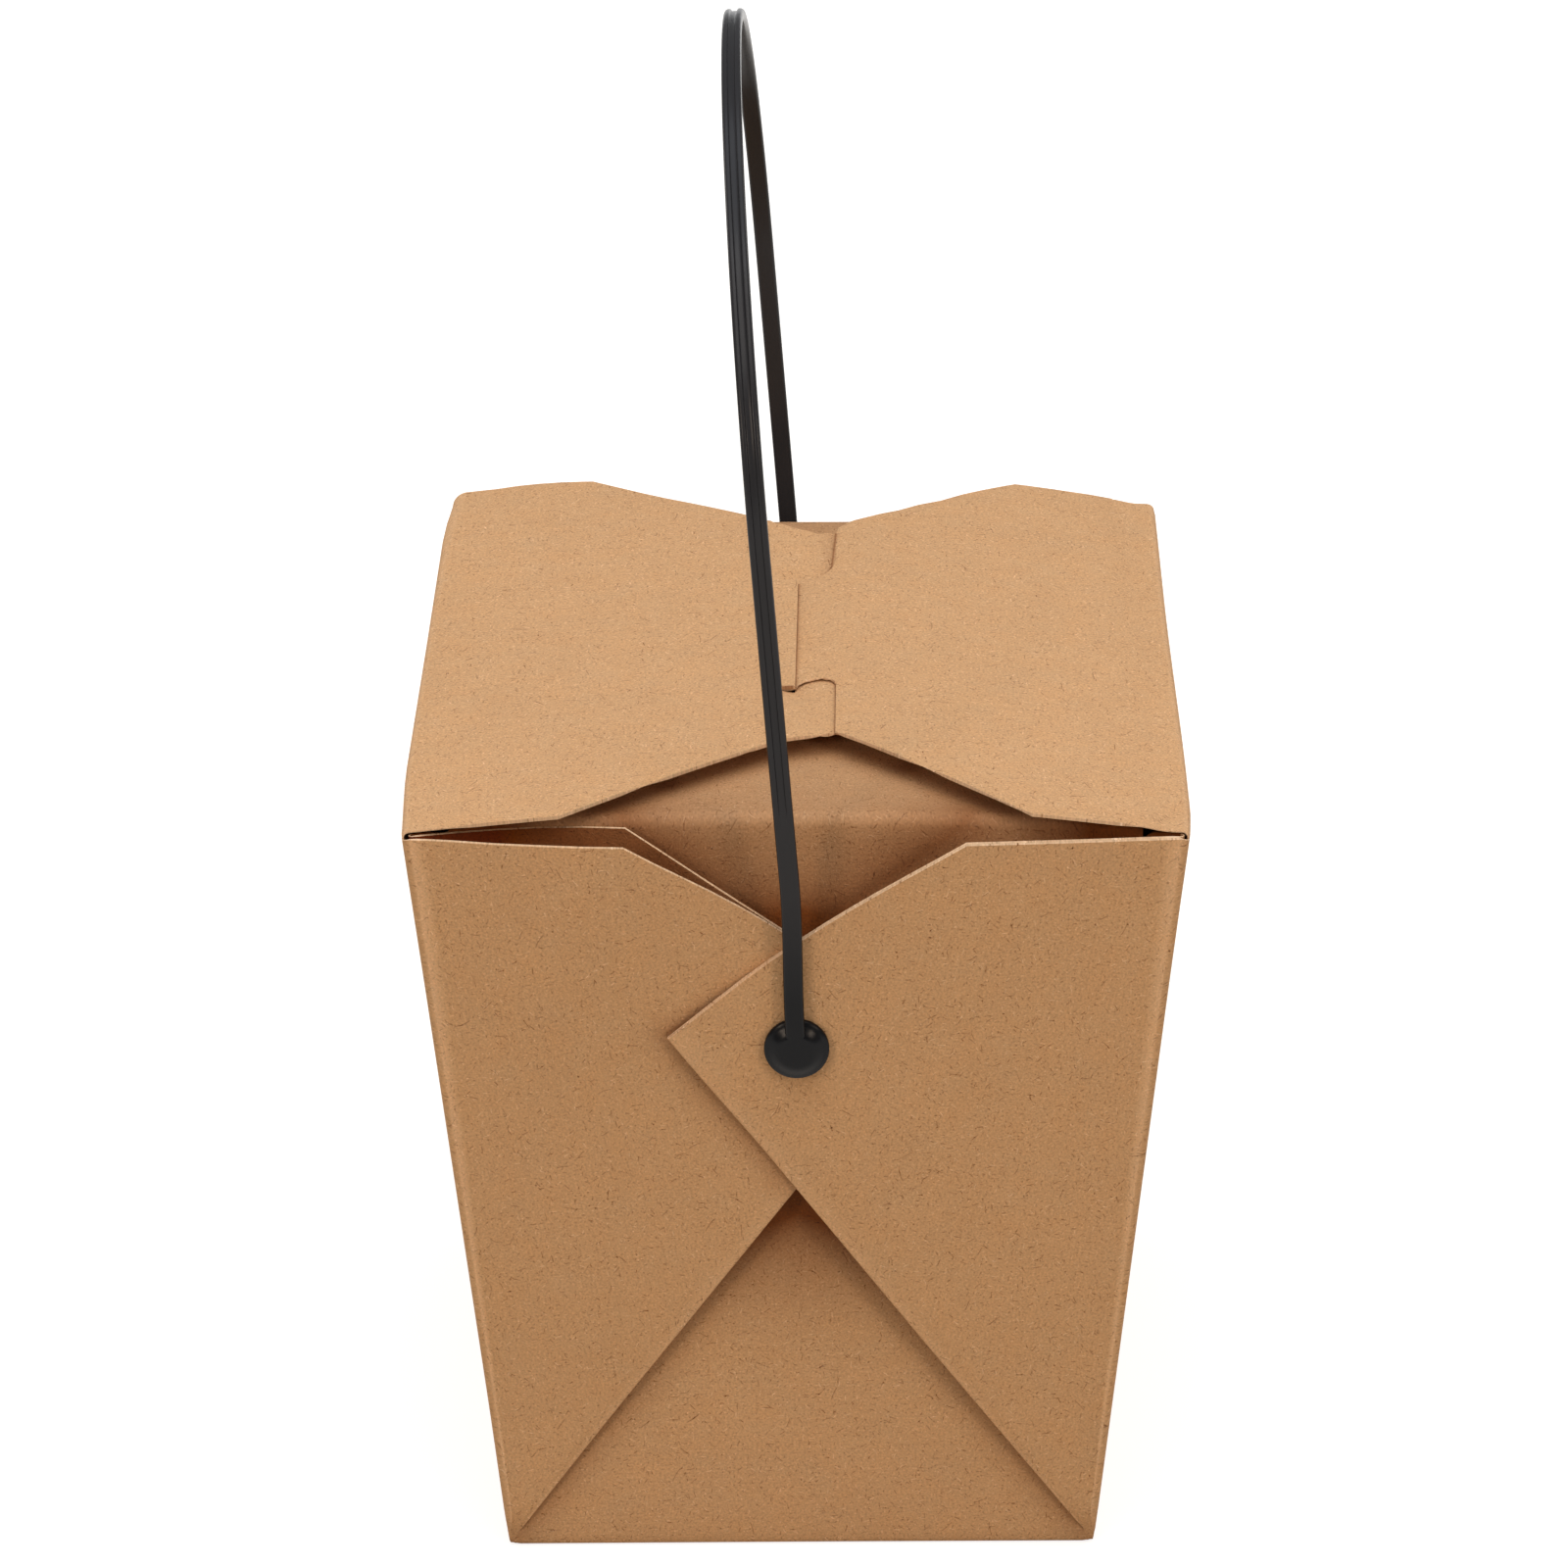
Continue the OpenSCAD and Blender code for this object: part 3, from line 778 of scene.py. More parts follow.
def drawn_in(x, y, z):
    """Rounds the bottom edge."""
    height = z - FLOOR_MID
    if height >= BOTTOM_R:
        return Vector((x, y, z))
    give = BOTTOM_R - math.sqrt(max(0.0, BOTTOM_R ** 2 - (BOTTOM_R - height) ** 2))
    return Vector((x * (1 - give / half_w(z)), y * (1 - give / half_d(z)), z))


print("bottom folds have a radius of", BOTTOM_R, "mm")


# %% From a column and a row to a point
def side_end(z):
    """How far along Y a side wall runs before the corner fold."""
    return half_d(z) - BOARD / 2 + (2 * LAYER - FOLD_R) * fit(z)


def half_turn(point, flat):
    """The same place at the far end: turned by 180 degrees about the pail's middle."""
    return Vector((-point.x, -point.y, point.z)), (-flat[0], -flat[1])


def ring_point(column, b, turned):
    """A point of the ring's near half, or, turned, of the far one."""
    panel, side, t = column
    wall = -side if turned else side
    crease = 0.0
    if panel in ("side", "corner"):
        along = (t if panel == "side" else 1.0) * side_end(WALL_TOP) * (1 if turned else -1)
        top = side_top(wall, along)
        if panel == "corner":
            top = between(top, WALL_TOP, t)
        z = between(FLOOR_MID, top, b)
        wall_x = side_x(wall, along, z)
        if panel == "side":
            x, y = wall_x, -t * side_end(z)
            flat = (BOTTOM_W / 2 + z, y)
        else:
            turn, radius = t * math.pi / 2, FOLD_R * fit(z)
            x = wall_x - radius * (1 - math.cos(turn))
            y = -side_end(z) - radius * math.sin(turn)
            flat, crease = (BOTTOM_W / 2 + z, y), 0.15 + 0.85 * math.exp(-(((t - 1) / 0.12) ** 2))
    elif panel in ("outer", "inner"):
        half = 2 if panel == "outer" else 1
        x, depth, z = web_point(side, half, t, b)
        y = -half_d(z) - depth
        flat = web_flat(half, x, z)
        crease = max(smooth((t - 0.97) / 0.03) * 0.5, 1 - smooth(t / 0.026))
    elif panel == "diagonal":
        outer, inner = web_point(side, 2, 1.0, b), web_point(side, 1, 1.0, b)
        turn, radius = math.pi * (0.5 - t), (outer[1] - inner[1]) / 2
        x = outer[0] - diagonal_in.x * radius * math.cos(turn)
        z = outer[2] - diagonal_in.y * radius * math.cos(turn)
        y = -half_d(z) - (outer[1] + inner[1]) / 2 - radius * math.sin(turn)
        flat, crease = web_flat(2, x, z), 0.6
    elif panel == "tuck":
        inner, end = web_point(side, 1, 0.0, b), end_wall_point(1.0, b)
        turn, radius = math.pi * (0.5 - t), (inner[1] - end[1]) / 2
        z = between(inner[2], end[2], t)
        x = half_w(z) - BOARD / 2 - TUCK_IN * fit(z) + radius * math.cos(turn)
        y = -half_d(z) - (inner[1] + end[1]) / 2 - radius * math.sin(turn)
        flat = web_flat(1, x, z)
    else:
        x, depth, z = end_wall_point(t, b)
        y = -half_d(z) - depth
        flat = end_flat(x, z)
    point, flat = drawn_in(x * side, y, z), (flat[0] * side, flat[1])
    if turned:
        point, flat = half_turn(point, flat)
    return point, flat, crease


def end_wall_point(c, b):
    """A point of the near end wall, as x, depth and height."""
    z = between(FLOOR_MID, end_top(c), b)
    x = c * (half_w(z) - BOARD / 2 - TUCK_IN * fit(z))
    return x, -BOARD / 2 - end_bow(x, z), z


carton = new_sheet()
for turned in (False, True):
    add_to(carton, mapped_grid(half_ring, ROWS, lambda column, b: ring_point(column, b, turned)))
print("ring of walls and webs:", len(carton.faces), "faces")

# %% [markdown]
# ## Bottom and inner end flaps
# The bottom takes its columns and rows from the walls' first row, so the two merge into one sheet.
# An inner end flap goes on from its wall's top row, over a soft fold, and lies under the top flaps.

# %% Bottom
bottom_x = BOTTOM_W / 2 - BOARD / 2 - BOTTOM_R * (half_w(0) - BOARD / 2) / half_w(0)
bottom_y = BOTTOM_D / 2 - BOARD / 2 - BOTTOM_R * (half_d(0) - BOARD / 2) / half_d(0)


def bottom_point(c, t):
    x, y = c * bottom_x, t * bottom_y
    return Vector((x, y, FLOOR_MID)), (x, y), 0.0


print("flat bottom inside its folds:", round(2 * bottom_x, 1), "by", round(2 * bottom_y, 1), "mm")
end_columns = [-c for c in END_STEPS[:-1]] + END_STEPS[::-1]
side_columns = [-t for t in reversed(SIDE_STEPS[1:])] + SIDE_STEPS
add_to(carton, mapped_grid(end_columns, side_columns, bottom_point))

# %% Inner end flaps
INNER_FLAP_LEN, INNER_FLAP_TIP_W, INNER_FLAP_ROUND = 30.0, 60.0, 6.0
INNER_FOLD_R, INNER_FLAP_RISE = 1.7, 0.02
FLAP_ARC = [i / 7 for i in range(8)]
FLAP_RUN = [1 + 0.08 * i for i in range(1, 10)] + [1.8, 1.86, 1.92, 1.96, 1.99, 2.0]


def inner_flap_point(c, e, turned):
    """e runs from 0 to 1 over the fold and from 1 to 2 along the flap."""
    x, depth, z = end_wall_point(c, 1.0)
    y = -half_d(z) - depth
    bend = 0.02
    slope = (end_bow(x, z) - end_bow(x, z - bend)) / bend - END_LEAN
    start, stop = math.atan(slope), math.pi / 2 - INNER_FLAP_RISE
    turn = between(start, stop, min(1.0, e))
    point_y = y + INNER_FOLD_R * (math.cos(start) - math.cos(turn))
    point_z = z + INNER_FOLD_R * (math.sin(turn) - math.sin(start))
    run = max(0.0, e - 1) * (INNER_FLAP_LEN - INNER_FOLD_R)
    past_round = max(0.0, run - (INNER_FLAP_LEN - INNER_FOLD_R - INNER_FLAP_ROUND))
    rounded = INNER_FLAP_ROUND - math.sqrt(max(0.0, INNER_FLAP_ROUND ** 2 - past_round ** 2))
    half = between(INNER_FLAP_W / 2, INNER_FLAP_TIP_W / 2, run / INNER_FLAP_LEN) - rounded
    point = Vector((x * half / (INNER_FLAP_W / 2), point_y + run * math.cos(INNER_FLAP_RISE),
                    point_z + run * math.sin(INNER_FLAP_RISE)))
    flat = (x, -BOTTOM_D / 2 - z - e * INNER_FOLD_R - run)
    if turned:
        point, flat = half_turn(point, flat)
    return point, flat, 0.35 * math.sin(math.pi * min(1.0, e))


flap_columns = [c for c in end_columns if abs(c) <= END_LAST + 1e-6]
for turned in (False, True):
    add_to(carton, mapped_grid(
        flap_columns, FLAP_ARC + FLAP_RUN, lambda c, e: inner_flap_point(c, e, turned)
    ))
print("with bottom and inner flaps:", len(carton.faces), "faces")

# %% [markdown]
# ## Top flaps and their lock
# The left flap has a slit. The right flap's tongue goes down through it, so the lip on the slit's
# left lies over the tongue, and the strip on its right lies under the right flap. The flat outlines
# are cut as blanks; then the board beside the slit is pressed up or down by the tongue's thickness.

# %% Levels around the slit
SLIT_HALF = 17.6
TONGUE_DEEP, LIP_UP = 0.22, 0.30
POINT_X, TURN_X = 29.5, 11.6


def right_level(x):
    """Upper face of the right flap above the arch: a board's height over the strip, lower at the slit."""
    full = min(1.0, (TOP_W / 2 - x) / 37.4) * LAYER
    return full - (LAYER + TONGUE_DEEP) * (1 - smooth((x - SLIT_X) / 6.5))


def tongue_level(x):
    """Upper face of the tongue under the lip."""
    return -LAYER + (LAYER - TONGUE_DEEP) * smooth((x - SLIT_X + LEG) / LEG)


def left_level(x, y, lip):
    """Upper face of the left flap: the lip is lifted, the strip is pressed down."""
    near_slit = smooth((x - SLIT_X + LEG) / LEG)
    if lip:
        return LIP_UP * near_slit * (1 - 0.35 * (y / SLIT_HALF) ** 2)
    faded = 1 - smooth((abs(y) - (20.5 if y > 0 else 18.5)) / 6)
    if x <= SLIT_X:
        return (right_level(SLIT_X) - LAYER) * near_slit * faded
    return min(0.0, right_level(x) - LAYER) * faded


print("the right flap sinks by", round(LAYER - right_level(SLIT_X), 2), "mm towards the slit")


# %% From the left blank to the folded flap
def top_fold(way, x, radius, centre, lean, stop):
    """One point over a top fold (way: 1 right, -1 left), and how far the board has run there."""
    end_x, end_z = centre[0] + way * radius * math.cos(stop), centre[1] + radius * math.sin(stop)
    arc_len, rest = radius * (stop - lean), way * end_x - FOLD_TO
    path = (FOLD_FROM - way * x) / (FOLD_FROM - FOLD_TO) * (arc_len + rest)
    if path > arc_len:
        return end_x - way * (path - arc_len), end_z, path, arc_len, rest, 0.0
    turn = lean + path / radius
    fold_x, fold_z = centre[0] + way * radius * math.cos(turn), centre[1] + radius * math.sin(turn)
    return fold_x, fold_z, path, arc_len, rest, 0.45 * math.sin(math.pi * path / arc_len)


def left_flap_point(x, y, lip=False):
    """Flat x left of -FOLD_TO runs over the fold, down to the side wall's top row."""
    radius, start, centre, lean, stop = left_fold(y * side_end(WALL_TOP) / FLAP_HALF)
    flat = (-FLAP_FLAT - x, y)
    if x >= -FOLD_TO:
        z = arch_z(x) + left_raise(x, y) + left_level(x, y, lip) - BOARD / 2
        return Vector((x, y, z)), flat, 0.0
    flap_x, z, path, arc_len, _, crease = top_fold(-1, x, radius, centre, lean, stop)
    if path > arc_len:
        z = arch_z(flap_x) + left_raise(flap_x, y) - BOARD / 2
    wall_y = y / FLAP_HALF * side_end(start[1])
    return Vector((flap_x, between(wall_y, y, smooth(path / (0.8 * arc_len))), z)), flat, crease


# %% Cut and fold the left flap
fold_cuts = [-FOLD_FROM + (FOLD_FROM - FOLD_TO) * i / 34 for i in range(1, 35)]
left_cuts_x = fold_cuts + [-40 + 3 * i for i in range(9)]
left_cuts_x += [-14.5, -12, -9.5, -7.5, -6, -5.2, -4.4, -3.6, -2.8, -2, -1.2]
left_cuts_y = [t * FLAP_HALF for t in side_columns[1:-1]]
slit_y = TONGUE_SHARE * FLAP_HALF
near_part = [(-FOLD_FROM, -FLAP_HALF), (-POINT_X, -FLAP_HALF), (-1.8, -33.8), (SLIT_X, -33.3),
             (SLIT_X, -slit_y), (-FOLD_FROM, -slit_y)]
far_part = [(-FOLD_FROM, slit_y), (SLIT_X, slit_y), (SLIT_X, 34.7), (-5, 38.2),
            (-POINT_X, FLAP_HALF), (-FOLD_FROM, FLAP_HALF)]
lip_part = [(-FOLD_FROM, -slit_y), (SLIT_X, -slit_y), (SLIT_X, slit_y), (-FOLD_FROM, slit_y)]
strip_part = [(SLIT_X, -33.3), (4.9, -31.8), (TURN_X, -31.3), (TURN_X, 33.2), (2.2, 33.4), (SLIT_X, 34.7)]
strip_cuts_x = [0.4, 1.2, 2, 3, 4, 5, 6, 7.5, 9.5]
fine_cuts_y = left_cuts_y + [-24, -21, -19, 19, 21, 24]
for outline in (near_part, far_part):
    add_to(carton, cut_blank(outline, left_cuts_x, fine_cuts_y, left_flap_point))
add_to(carton, cut_blank(lip_part, left_cuts_x, left_cuts_y, lambda x, y: left_flap_point(x, y, True)))
add_to(carton, cut_blank(strip_part, strip_cuts_x, fine_cuts_y, left_flap_point))
print("left flap's slit is", round(2 * slit_y, 1), "mm long")

# %% [markdown]
# The pail in the photo stands a little askew: the near wall's foot comes forward at its left corner.
# So the finished sheet is moved there, and the far end in the same way, softly and near the table.

# %% Foot, and the carton's board
FOOT_OUT, FOOT_HIGH = 0.9, 25

for vert in carton.verts:
    end = -1 if vert.co.y < 0 else 1
    low = smooth(abs(vert.co.y) / 40) * (1 - smooth(vert.co.z / FOOT_HIGH))
    vert.co.y += end * FOOT_OUT * (0.5 + end * vert.co.x / BOTTOM_W) * low
finish_board(carton, "folded_carton", "pail", "carton", kraft_board)

# %% [markdown]
# The right flap is the same board, but it opens, so it rides on the lid. Its outline has a round
# relief on the near side of the tongue and a soft shoulder on the far side.

# %% From the right blank to the folded flap
RIGHT_FOLD_R, RIGHT_RAISE = 0.9, 0.55


def right_raise(x, y):
    """The middle of the right flap's far end stands a little higher."""
    return RIGHT_RAISE * math.exp(-(((x - 28) / 11) ** 2)) * smooth((y - 18) / 34)


def right_flap_point(x, y):
    """Flat x right of FOLD_TO runs over the fold, down to the side wall's top row."""
    flat = (FLAP_FLAT - x, y)
    if x <= FOLD_TO:
        level = right_level(x) + right_raise(x, y) if x > SLIT_X else tongue_level(x)
        return Vector((x, y, arch_z(x) + level - BOARD / 2)), flat, 0.0
    lean, stop = math.atan(SIDE_LEAN), math.pi / 2 - math.atan(ARCH_SLOPE)
    centre = (
        side_x(1, y, RIGHT_TOP) - RIGHT_FOLD_R * math.cos(lean),
        RIGHT_TOP + RIGHT_FOLD_R * math.sin(lean),
    )
    flap_x, z, path, arc_len, rest, crease = top_fold(1, x, RIGHT_FOLD_R, centre, lean, stop)
    if path > arc_len:
        z = between(z, arch_z(flap_x) + right_level(flap_x) - BOARD / 2, smooth((path - arc_len) / rest))
    return Vector((flap_x, y, z)), flat, crease


print("the right flap's middle is raised by up to", RIGHT_RAISE, "mm")

# %% Cut and fold the right flap
relief = [
    (SLIT_X + 0.1 + RELIEF_R * (1 + math.cos(turn)), -slit_y + 0.3 + RELIEF_R * math.sin(turn))
    for turn in (math.pi * i / 12 for i in range(13))
]
tongue_far = [(-9.5, 11.5), (-9, 13.2), (-7.5, 14.8), (-4, 17.0)]
tongue = [(x, -y) for x, y in reversed(tongue_far)] + tongue_far
shoulder = [(SLIT_X, 17.2), (1.5, 18.0), (3.0, 19.4), (3.8, 20.5), (4.4, 22.0), (4.7, 24.0)]
right_outline = (
    [(FOLD_FROM, -FLAP_HALF), (POINT_X, -FLAP_HALF), (8.1, -35.0), (4.9, -32.4)]
    + relief + tongue + shoulder
    + [(4.7, 33.3), (4.9, 35.5), (6.2, 37.3), (10.6, 40.4), (POINT_X, FLAP_HALF), (FOLD_FROM, FLAP_HALF)]
)
right_outline.reverse()
right_cuts_x = [-c for c in fold_cuts] + [40 - 3 * i for i in range(11)]
right_cuts_x += [8.5, 7.2, 6, 5, 4, 3, 2, 1.2, 0.6, 0, SLIT_X, -1.2, -2.2, -3.4, -5, -7]
lid = cut_blank(right_outline, right_cuts_x, left_cuts_y + [-24, -21, 19, 21, 24], right_flap_point)
finish_board(lid, "right_flap_board", "lid", "right_top_flap", kraft_board)

# %% [markdown]
# ## Plastic handle
# The handle is one moulding: a thin flat strap with rounded edges and a groove along its outer face,
# arched over the pail, and at each end a domed button with a pin and a barbed head behind it. The
# strap is a grid swept along the arch, its columns round the section; the buttons are spun.

# %% Strap section and arch
STRAP_W, STRAP_T, STRAP_ROUND = 2.5, 1.5, 0.45
GROOVE_DEEP, GROOVE_START = 0.3, 34.0
LEG_Y = 57.46
SPLAY_END = PAIL_H - BUTTON_Z
LEG_LEN, CROWN_RISE = 68.0, 47.75
TWIST, SHIFT = 0.72, 0.36


def strap_section():
    """The outline of the strap as across, outwards and a share of the groove, once round."""
    wide, thick, r = STRAP_W / 2 - STRAP_ROUND, STRAP_T / 2 - STRAP_ROUND, STRAP_ROUND
    points = []
    for cx, cy, start in ((wide, thick, 0), (-wide, thick, 90), (-wide, -thick, 180), (wide, -thick, 270)):
        if start == 90:
            half_groove = [(0.56, 0.0), (0.50, 0.12), (0.44, 0.8), (0.36, 1.0)]
            points += [(place, STRAP_T / 2, deep) for place, deep in half_groove]
            points += [(-place, STRAP_T / 2, deep) for place, deep in reversed(half_groove)]
        for i in range(5):
            angle = math.radians(start + 90 * i / 4)
            points.append((cx + r * math.cos(angle), cy + r * math.sin(angle), 0.0))
    return points + points[:1]


def arch_point(s):
    """Middle of the strap as y, height and direction; s is 0 at the near button, 1 at the far one."""
    def at(s):
        side, half = (-1, s * 2) if s <= 0.5 else (1, (1 - s) * 2)
        leg_share = 0.56
        if half <= leg_share:
            h = LEG_LEN * half / leg_share
            softened = 4 * math.log1p(math.exp((SPLAY_END - h) / 4))
            return side * (LEG_Y - END_LEAN * softened), h
        turn = (half - leg_share) / (1 - leg_share) * math.pi / 2
        return side * LEG_Y * math.cos(turn), LEG_LEN + CROWN_RISE * math.sin(turn)

    step = 1e-4
    before, after = at(max(0.0, s - step)), at(min(1.0, s + step))
    direction = Vector((after[0] - before[0], after[1] - before[1])).normalized()
    return at(s), direction


def strap_point(column, s):
    across, outwards, groove = column
    (y, h), direction = arch_point(s)
    normal = Vector((-direction.y, direction.x))
    outwards -= GROOVE_DEEP * groove * smooth((h - GROOVE_START + 4) / 8)
    across += (SHIFT - TWIST * y / LEG_Y) * smooth(h / 25)
    return Vector((across, y + normal.x * outwards, h + normal.y * outwards)), (across, s * 300), 0.0


STRAP_ROWS = [i / 180 for i in range(181)]
handle = mapped_grid(strap_section(), STRAP_ROWS, strap_point)
bmesh.ops.remove_doubles(handle, verts=handle.verts, dist=0.001)
bmesh.ops.holes_fill(handle, edges=handle.edges, sides=0)
print("strap:", len(handle.faces), "faces")

# %% Buttons, pins and barbed heads
BUTTON_D, BUTTON_DOME, BUTTON_RIM = 8.3, 1.1, 0.6
PIN_D, BARB_D, BARB_LEN = 3.6, 6.4, 2.2
BUTTON_CLEAR = 0.15
end_face = half_d(BUTTON_Z) + 4 * LAYER * math.hypot(1, END_LEAN)
seat = end_face + BUTTON_D / 2 * END_LEAN + BUTTON_CLEAR
barb_seat = half_d(BUTTON_Z) - BOARD * math.hypot(1, END_LEAN) - BARB_D / 2 * END_LEAN - BUTTON_CLEAR
dome_top = seat + BUTTON_RIM + BUTTON_DOME


def button_profile():
    """Radius and distance from the pail's middle, from the barb's tip out to the dome's top."""
    rim_r, soft = BUTTON_D / 2, 0.28
    points = [
        (0, barb_seat - BARB_LEN), (PIN_D / 2 - 0.55, barb_seat - BARB_LEN),
        (PIN_D / 2 - 0.3, barb_seat - BARB_LEN + 0.1), (BARB_D / 2 - 0.08, barb_seat - 0.6),
        (BARB_D / 2, barb_seat - 0.4), (BARB_D / 2, barb_seat - 0.08), (BARB_D / 2 - 0.08, barb_seat),
        (PIN_D / 2, barb_seat), (PIN_D / 2, seat), (rim_r - 0.15, seat), (rim_r, seat + 0.15),
    ]
    points += [(rim_r - soft * (1 - math.cos(a)), seat + BUTTON_RIM - soft * 0.4 + soft * math.sin(a))
               for a in (0, 0.35, 0.7, 1.0)]
    last_r, last_y = points[-1]
    for i in range(1, 13):
        share = i / 12
        points.append((last_r * (1 - share), last_y + (dome_top - last_y) * smooth(1.9 * share) ** 0.8))
    return points


def add_button(end):
    """Spins the profile about the pins' axis at one end: -1 is near, 1 is far."""
    spun = new_sheet()
    verts = [spun.verts.new((radius, end * y, 0)) for radius, y in button_profile()]
    edges = [spun.edges.new(pair) for pair in zip(verts, verts[1:])]
    bmesh.ops.spin(spun, geom=verts + edges, cent=(0, 0, 0), axis=(0, 1, 0), angle=2 * math.pi,
                   steps=72, use_merge=True)
    bmesh.ops.remove_doubles(spun, verts=spun.verts, dist=0.001)
    uv = spun.loops.layers.uv[FLAT_UV]
    for face in spun.faces:
        for loop in face.loops:
            loop[uv].uv = (loop.vert.co.x, loop.vert.co.z + end * 40)
    add_to(handle, spun)


add_button(-1)
add_button(1)
bmesh.ops.recalc_face_normals(handle, faces=handle.faces)
print("handle with buttons:", len(handle.faces), "faces")

# %% [markdown]
# The plastic is a satin black with a very fine moulded grain and a few pale specks of dust. A bump
# this small shows only as a softer highlight, which is what the real handle has.

# %% Black plastic
NEAR_BUTTON, FURTHER_UP = (0.0050, 0.0054, 0.0068, 1), (0.0250, 0.0248, 0.0275, 1)
PALE_FROM, PALE_OVER = 0.086, 0.016


def black_plastic():
    """Darkest about the button, and a little paler further up the strap: a painted sheen."""
    material, graph = new_material("black_plastic")
    place = graph.node("ShaderNodeTexCoord", output="Object")
    coarse = graph.node("ShaderNodeTexNoise", {"Vector": place, "Scale": 900.0, "Detail": 3.0})
    fine = graph.node("ShaderNodeTexNoise", {"Vector": place, "Scale": 6000.0, "Detail": 2.0})
    dust = graph.node("ShaderNodeTexVoronoi", {"Vector": place, "Scale": 420.0, "Randomness": 1.0})
    chance = graph.node("ShaderNodeSeparateColor", {0: dust.other("Color")})
    specks = (1 - dust * 14).kept() * chance.below(0.035)
    height = graph.node("ShaderNodeSeparateXYZ", {0: place}, output="Z")
    # Painted sheen: the strap is made paler than the button from PALE_FROM upwards.
    painted_sheen = ((height - PALE_FROM) / PALE_OVER).kept()
    base = (specks * 0.5).blend(painted_sheen.blend(NEAR_BUTTON, FURTHER_UP), (0.12, 0.12, 0.12, 1))
    relief = coarse * 0.7 + fine * 0.3
    bump = graph.node("ShaderNodeBump", {"Strength": 0.30, "Distance": 0.00003, "Height": relief})
    shader = graph.node("ShaderNodeBsdfPrincipled", {
        "Base Color": base, "Roughness": 0.20 + coarse * 0.10, "Specular IOR Level": 0.15, "Normal": bump,
    })
    finish_shader(graph, shader)
    return material


plastic = black_plastic()
print("the plastic is darkest up to", round(PALE_FROM / MM), "mm above the table")

# %% [markdown]
# The handle was drawn upright, with the pins' axis through the origin, because its sizes are
# simplest there. In the photo it leans to the left, held by the friction of its pins. So the whole
# mesh is turned by that lean and lifted to its holes before it becomes an object.

# %% Put the handle on its pins
HANDLE_LEAN = 4.2
leaning = Matrix.Rotation(math.radians(-HANDLE_LEAN), 3, "Y")
bmesh.ops.rotate(handle, cent=(0, 0, 0), matrix=leaning, verts=handle.verts)
bmesh.ops.translate(handle, vec=(0, 0, BUTTON_Z), verts=handle.verts)
bmesh.ops.scale(handle, vec=(MM, MM, MM), verts=handle.verts)
handle_mesh = as_mesh(handle, "bail_handle")
handle_mesh.materials.append(plastic)
handle_mesh.shade_smooth()
handle_mesh.set_sharp_from_angle(angle=math.radians(40))
bail = new_object("bail_handle", handle_mesh)
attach(bail, "bail")
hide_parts("handle")
print("handle top at", round(max(v.co.z for v in handle_mesh.vertices) * 1000, 1), "mm")

# %% [markdown]
# ## Floor, light and background
# The photo has a pure white ground and light from all round, strongest from above, so the top is
# about half as bright again as the front. Two large lamps above give most of it. Two small warm ones
# in front wake the folds and the plastic, two at the sides reach the back, and a faint even world
# fills in. A white floor would throw too much light up, so the floor is a mid warm grey that glows
# white to the camera alone. It still keeps the pail's soft shadow.

# %% Floor
FLOOR_COLOUR, FLOOR_GLOW = (0.46, 0.405, 0.33, 1), (0.95, 0.97, 1, 1)


def pale_floor():
    """Glows a little less near the pail, where the lamps already light it."""
    material, graph = new_material("pale_floor")
    place = graph.node("ShaderNodeTexCoord", output="Object")
    reach = graph.node("ShaderNodeVectorMath", {0: place}, output=1, operation="LENGTH")
    far = ((reach - 0.15) / 0.5).kept()
    ray = graph.node("ShaderNodeLightPath", output="Is Camera Ray")
    seen = ray + ray.other("Is Glossy Ray") + ray.other("Is Transmission Ray")
    shader = graph.node("ShaderNodeBsdfPrincipled", {
        "Base Color": FLOOR_COLOUR, "Roughness": 0.9, "Specular IOR Level": 0.1,
        "Emission Color": FLOOR_GLOW, "Emission Strength": seen.kept() * (0.80 + far * 0.25),
    })
    finish_shader(graph, shader)
    return material


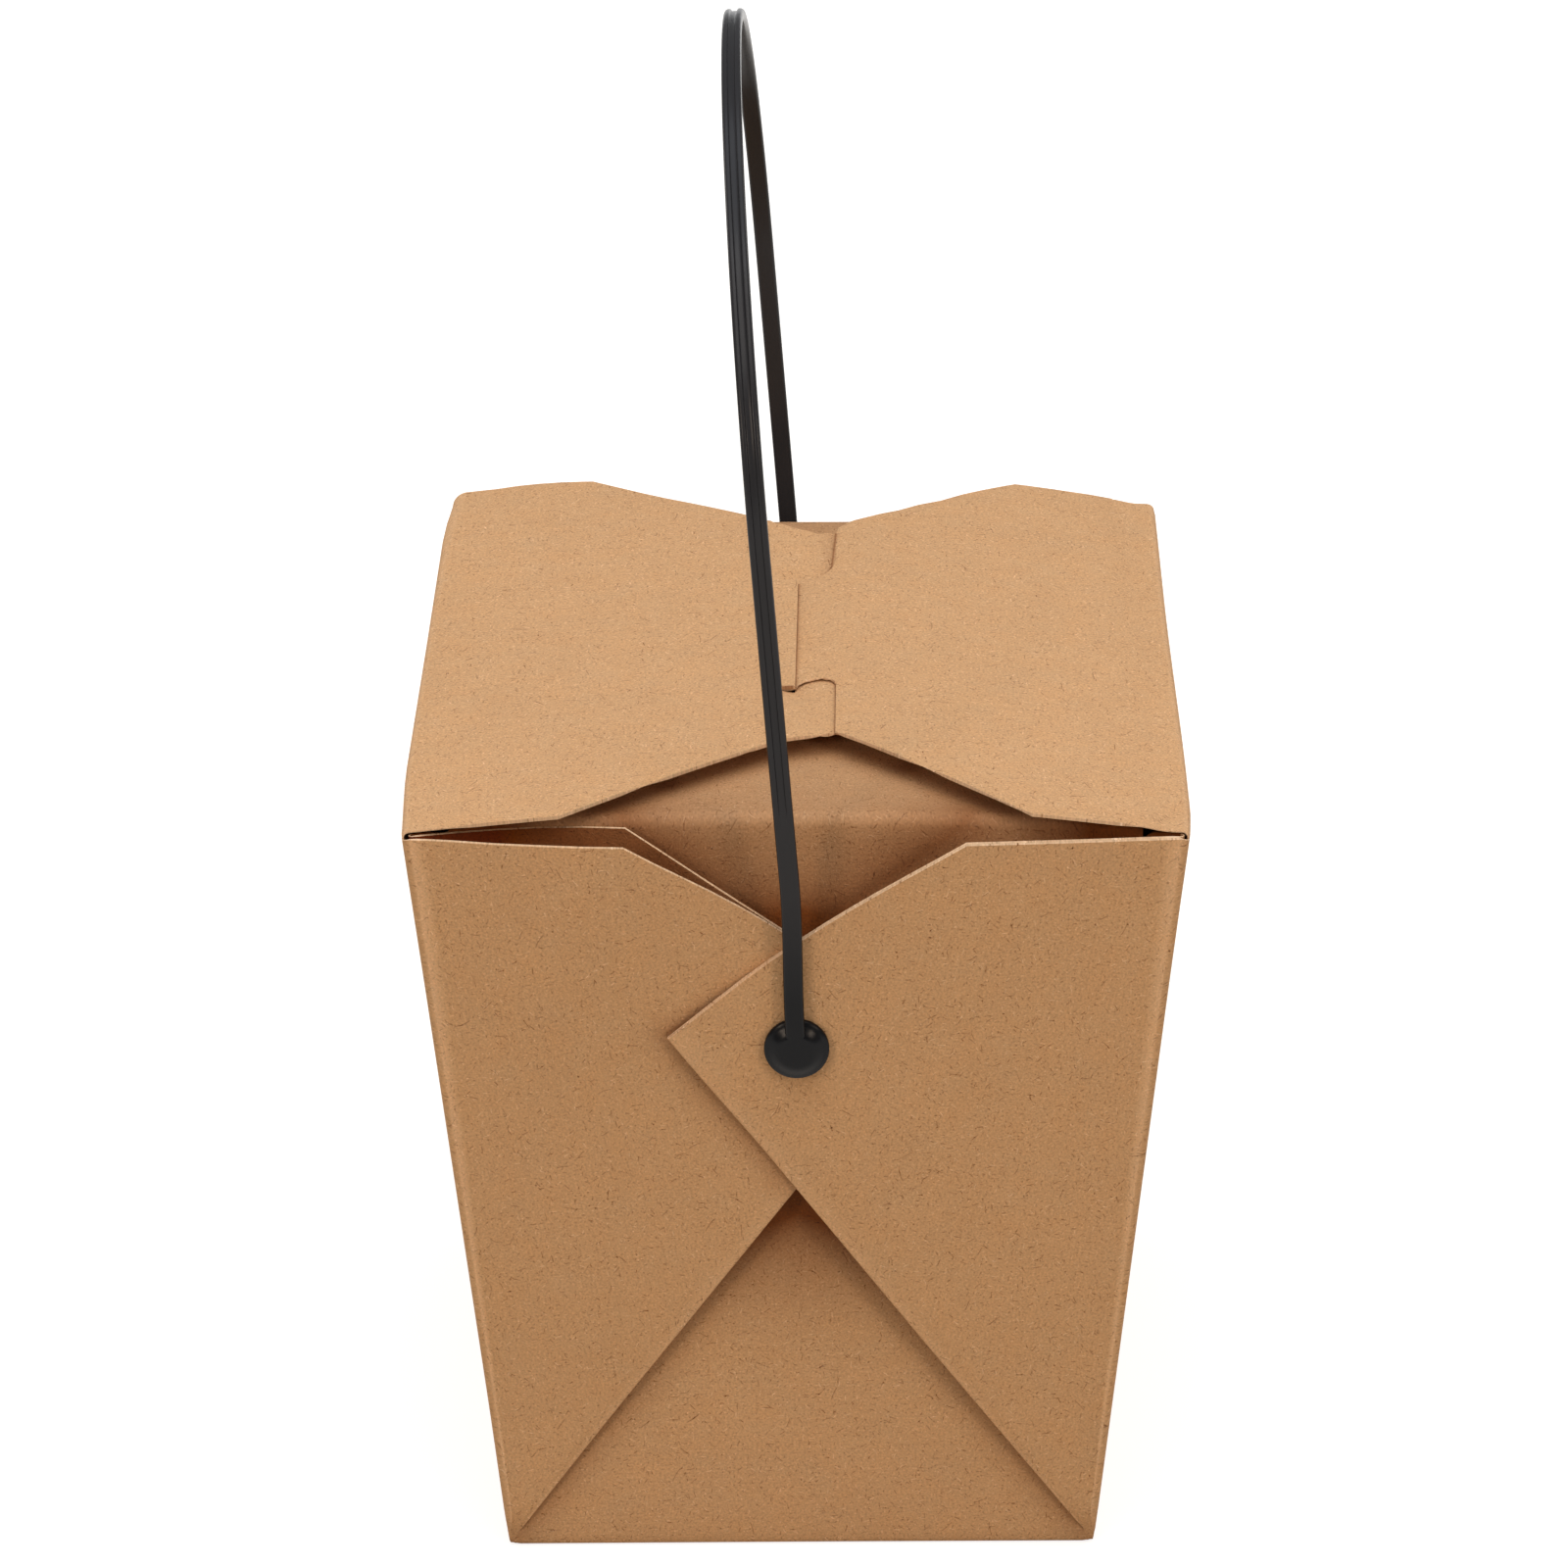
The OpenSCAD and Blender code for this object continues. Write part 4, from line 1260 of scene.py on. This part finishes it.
FLOOR_HALF = 6.0
floor_sheet = bmesh.new()
bmesh.ops.create_grid(floor_sheet, x_segments=1, y_segments=1, size=FLOOR_HALF)
floor_mesh = as_mesh(floor_sheet, "floor")
floor_mesh.materials.append(pale_floor())
floor = new_object("floor", floor_mesh)
floor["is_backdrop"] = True
print("floor is", 2 * FLOOR_HALF, "m wide")

# %% World and lamps
world = bpy.data.worlds.new("studio")
bpy.context.scene.world = world
world.use_nodes = True
world.node_tree.nodes.clear()
world_graph = Signal(world.node_tree)
WORLD_LIGHT = 0.18
path = world_graph.node("ShaderNodeLightPath", output="Is Camera Ray")
strength = path * (1 - WORLD_LIGHT) + WORLD_LIGHT
background = world_graph.node("ShaderNodeBackground", {"Color": (1, 1, 1, 1), "Strength": strength})
finish_shader(world_graph, background, "ShaderNodeOutputWorld")


def add_lamp(name, place, aim, size, power, colour):
    """A soft rectangle of light, turned towards a point over the floor."""
    lamp_data = bpy.data.lights.new(name, "AREA")
    set_all(lamp_data, shape="RECTANGLE", size=size[0], size_y=size[1], energy=power, color=colour)
    lamp = new_object(name, lamp_data)
    turn = (Vector(aim) - Vector(place)).to_track_quat("-Z", "Y")
    lamp.matrix_world = Matrix.Translation(Vector(place)) @ turn.to_matrix().to_4x4()


WARM, PLAIN, COOL = (1.0, 0.81, 0.64), (1.0, 0.96, 0.92), (0.92, 1.0, 1.10)
add_lamp("over_top", (0.0, 0.15, 1.2), (0, 0, 0.06), (1.0, 1.0), 4.4, COOL)
add_lamp("front_top", (0.02, -0.55, 1.2), (0, 0, 0.06), (1.2, 0.9), 9.3, PLAIN)
add_lamp("front_left", (-0.75, -1.1, 0.65), (0, 0, 0.09), (0.18, 0.28), 3.0, WARM)
add_lamp("front_right", (0.8, -1.0, 0.60), (0, 0, 0.09), (0.18, 0.28), 2.5, WARM)
for side in (-1, 1):
    add_lamp("side_back", (side * 1.2, 0.7, 0.6), (0, 0, 0.09), (0.5, 0.6), 4.0, PLAIN)
bpy.context.scene.view_settings.view_transform = "Standard"
print("world light", WORLD_LIGHT, "and", len(bpy.data.lights), "lamps")

# %% Write the two boxes and finish
visual_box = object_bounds()
for name, box in (("cad box", cad_box), ("visual box", visual_box)):
    print(name, [[round(c * 1000, 2) for c in corner] for corner in box])
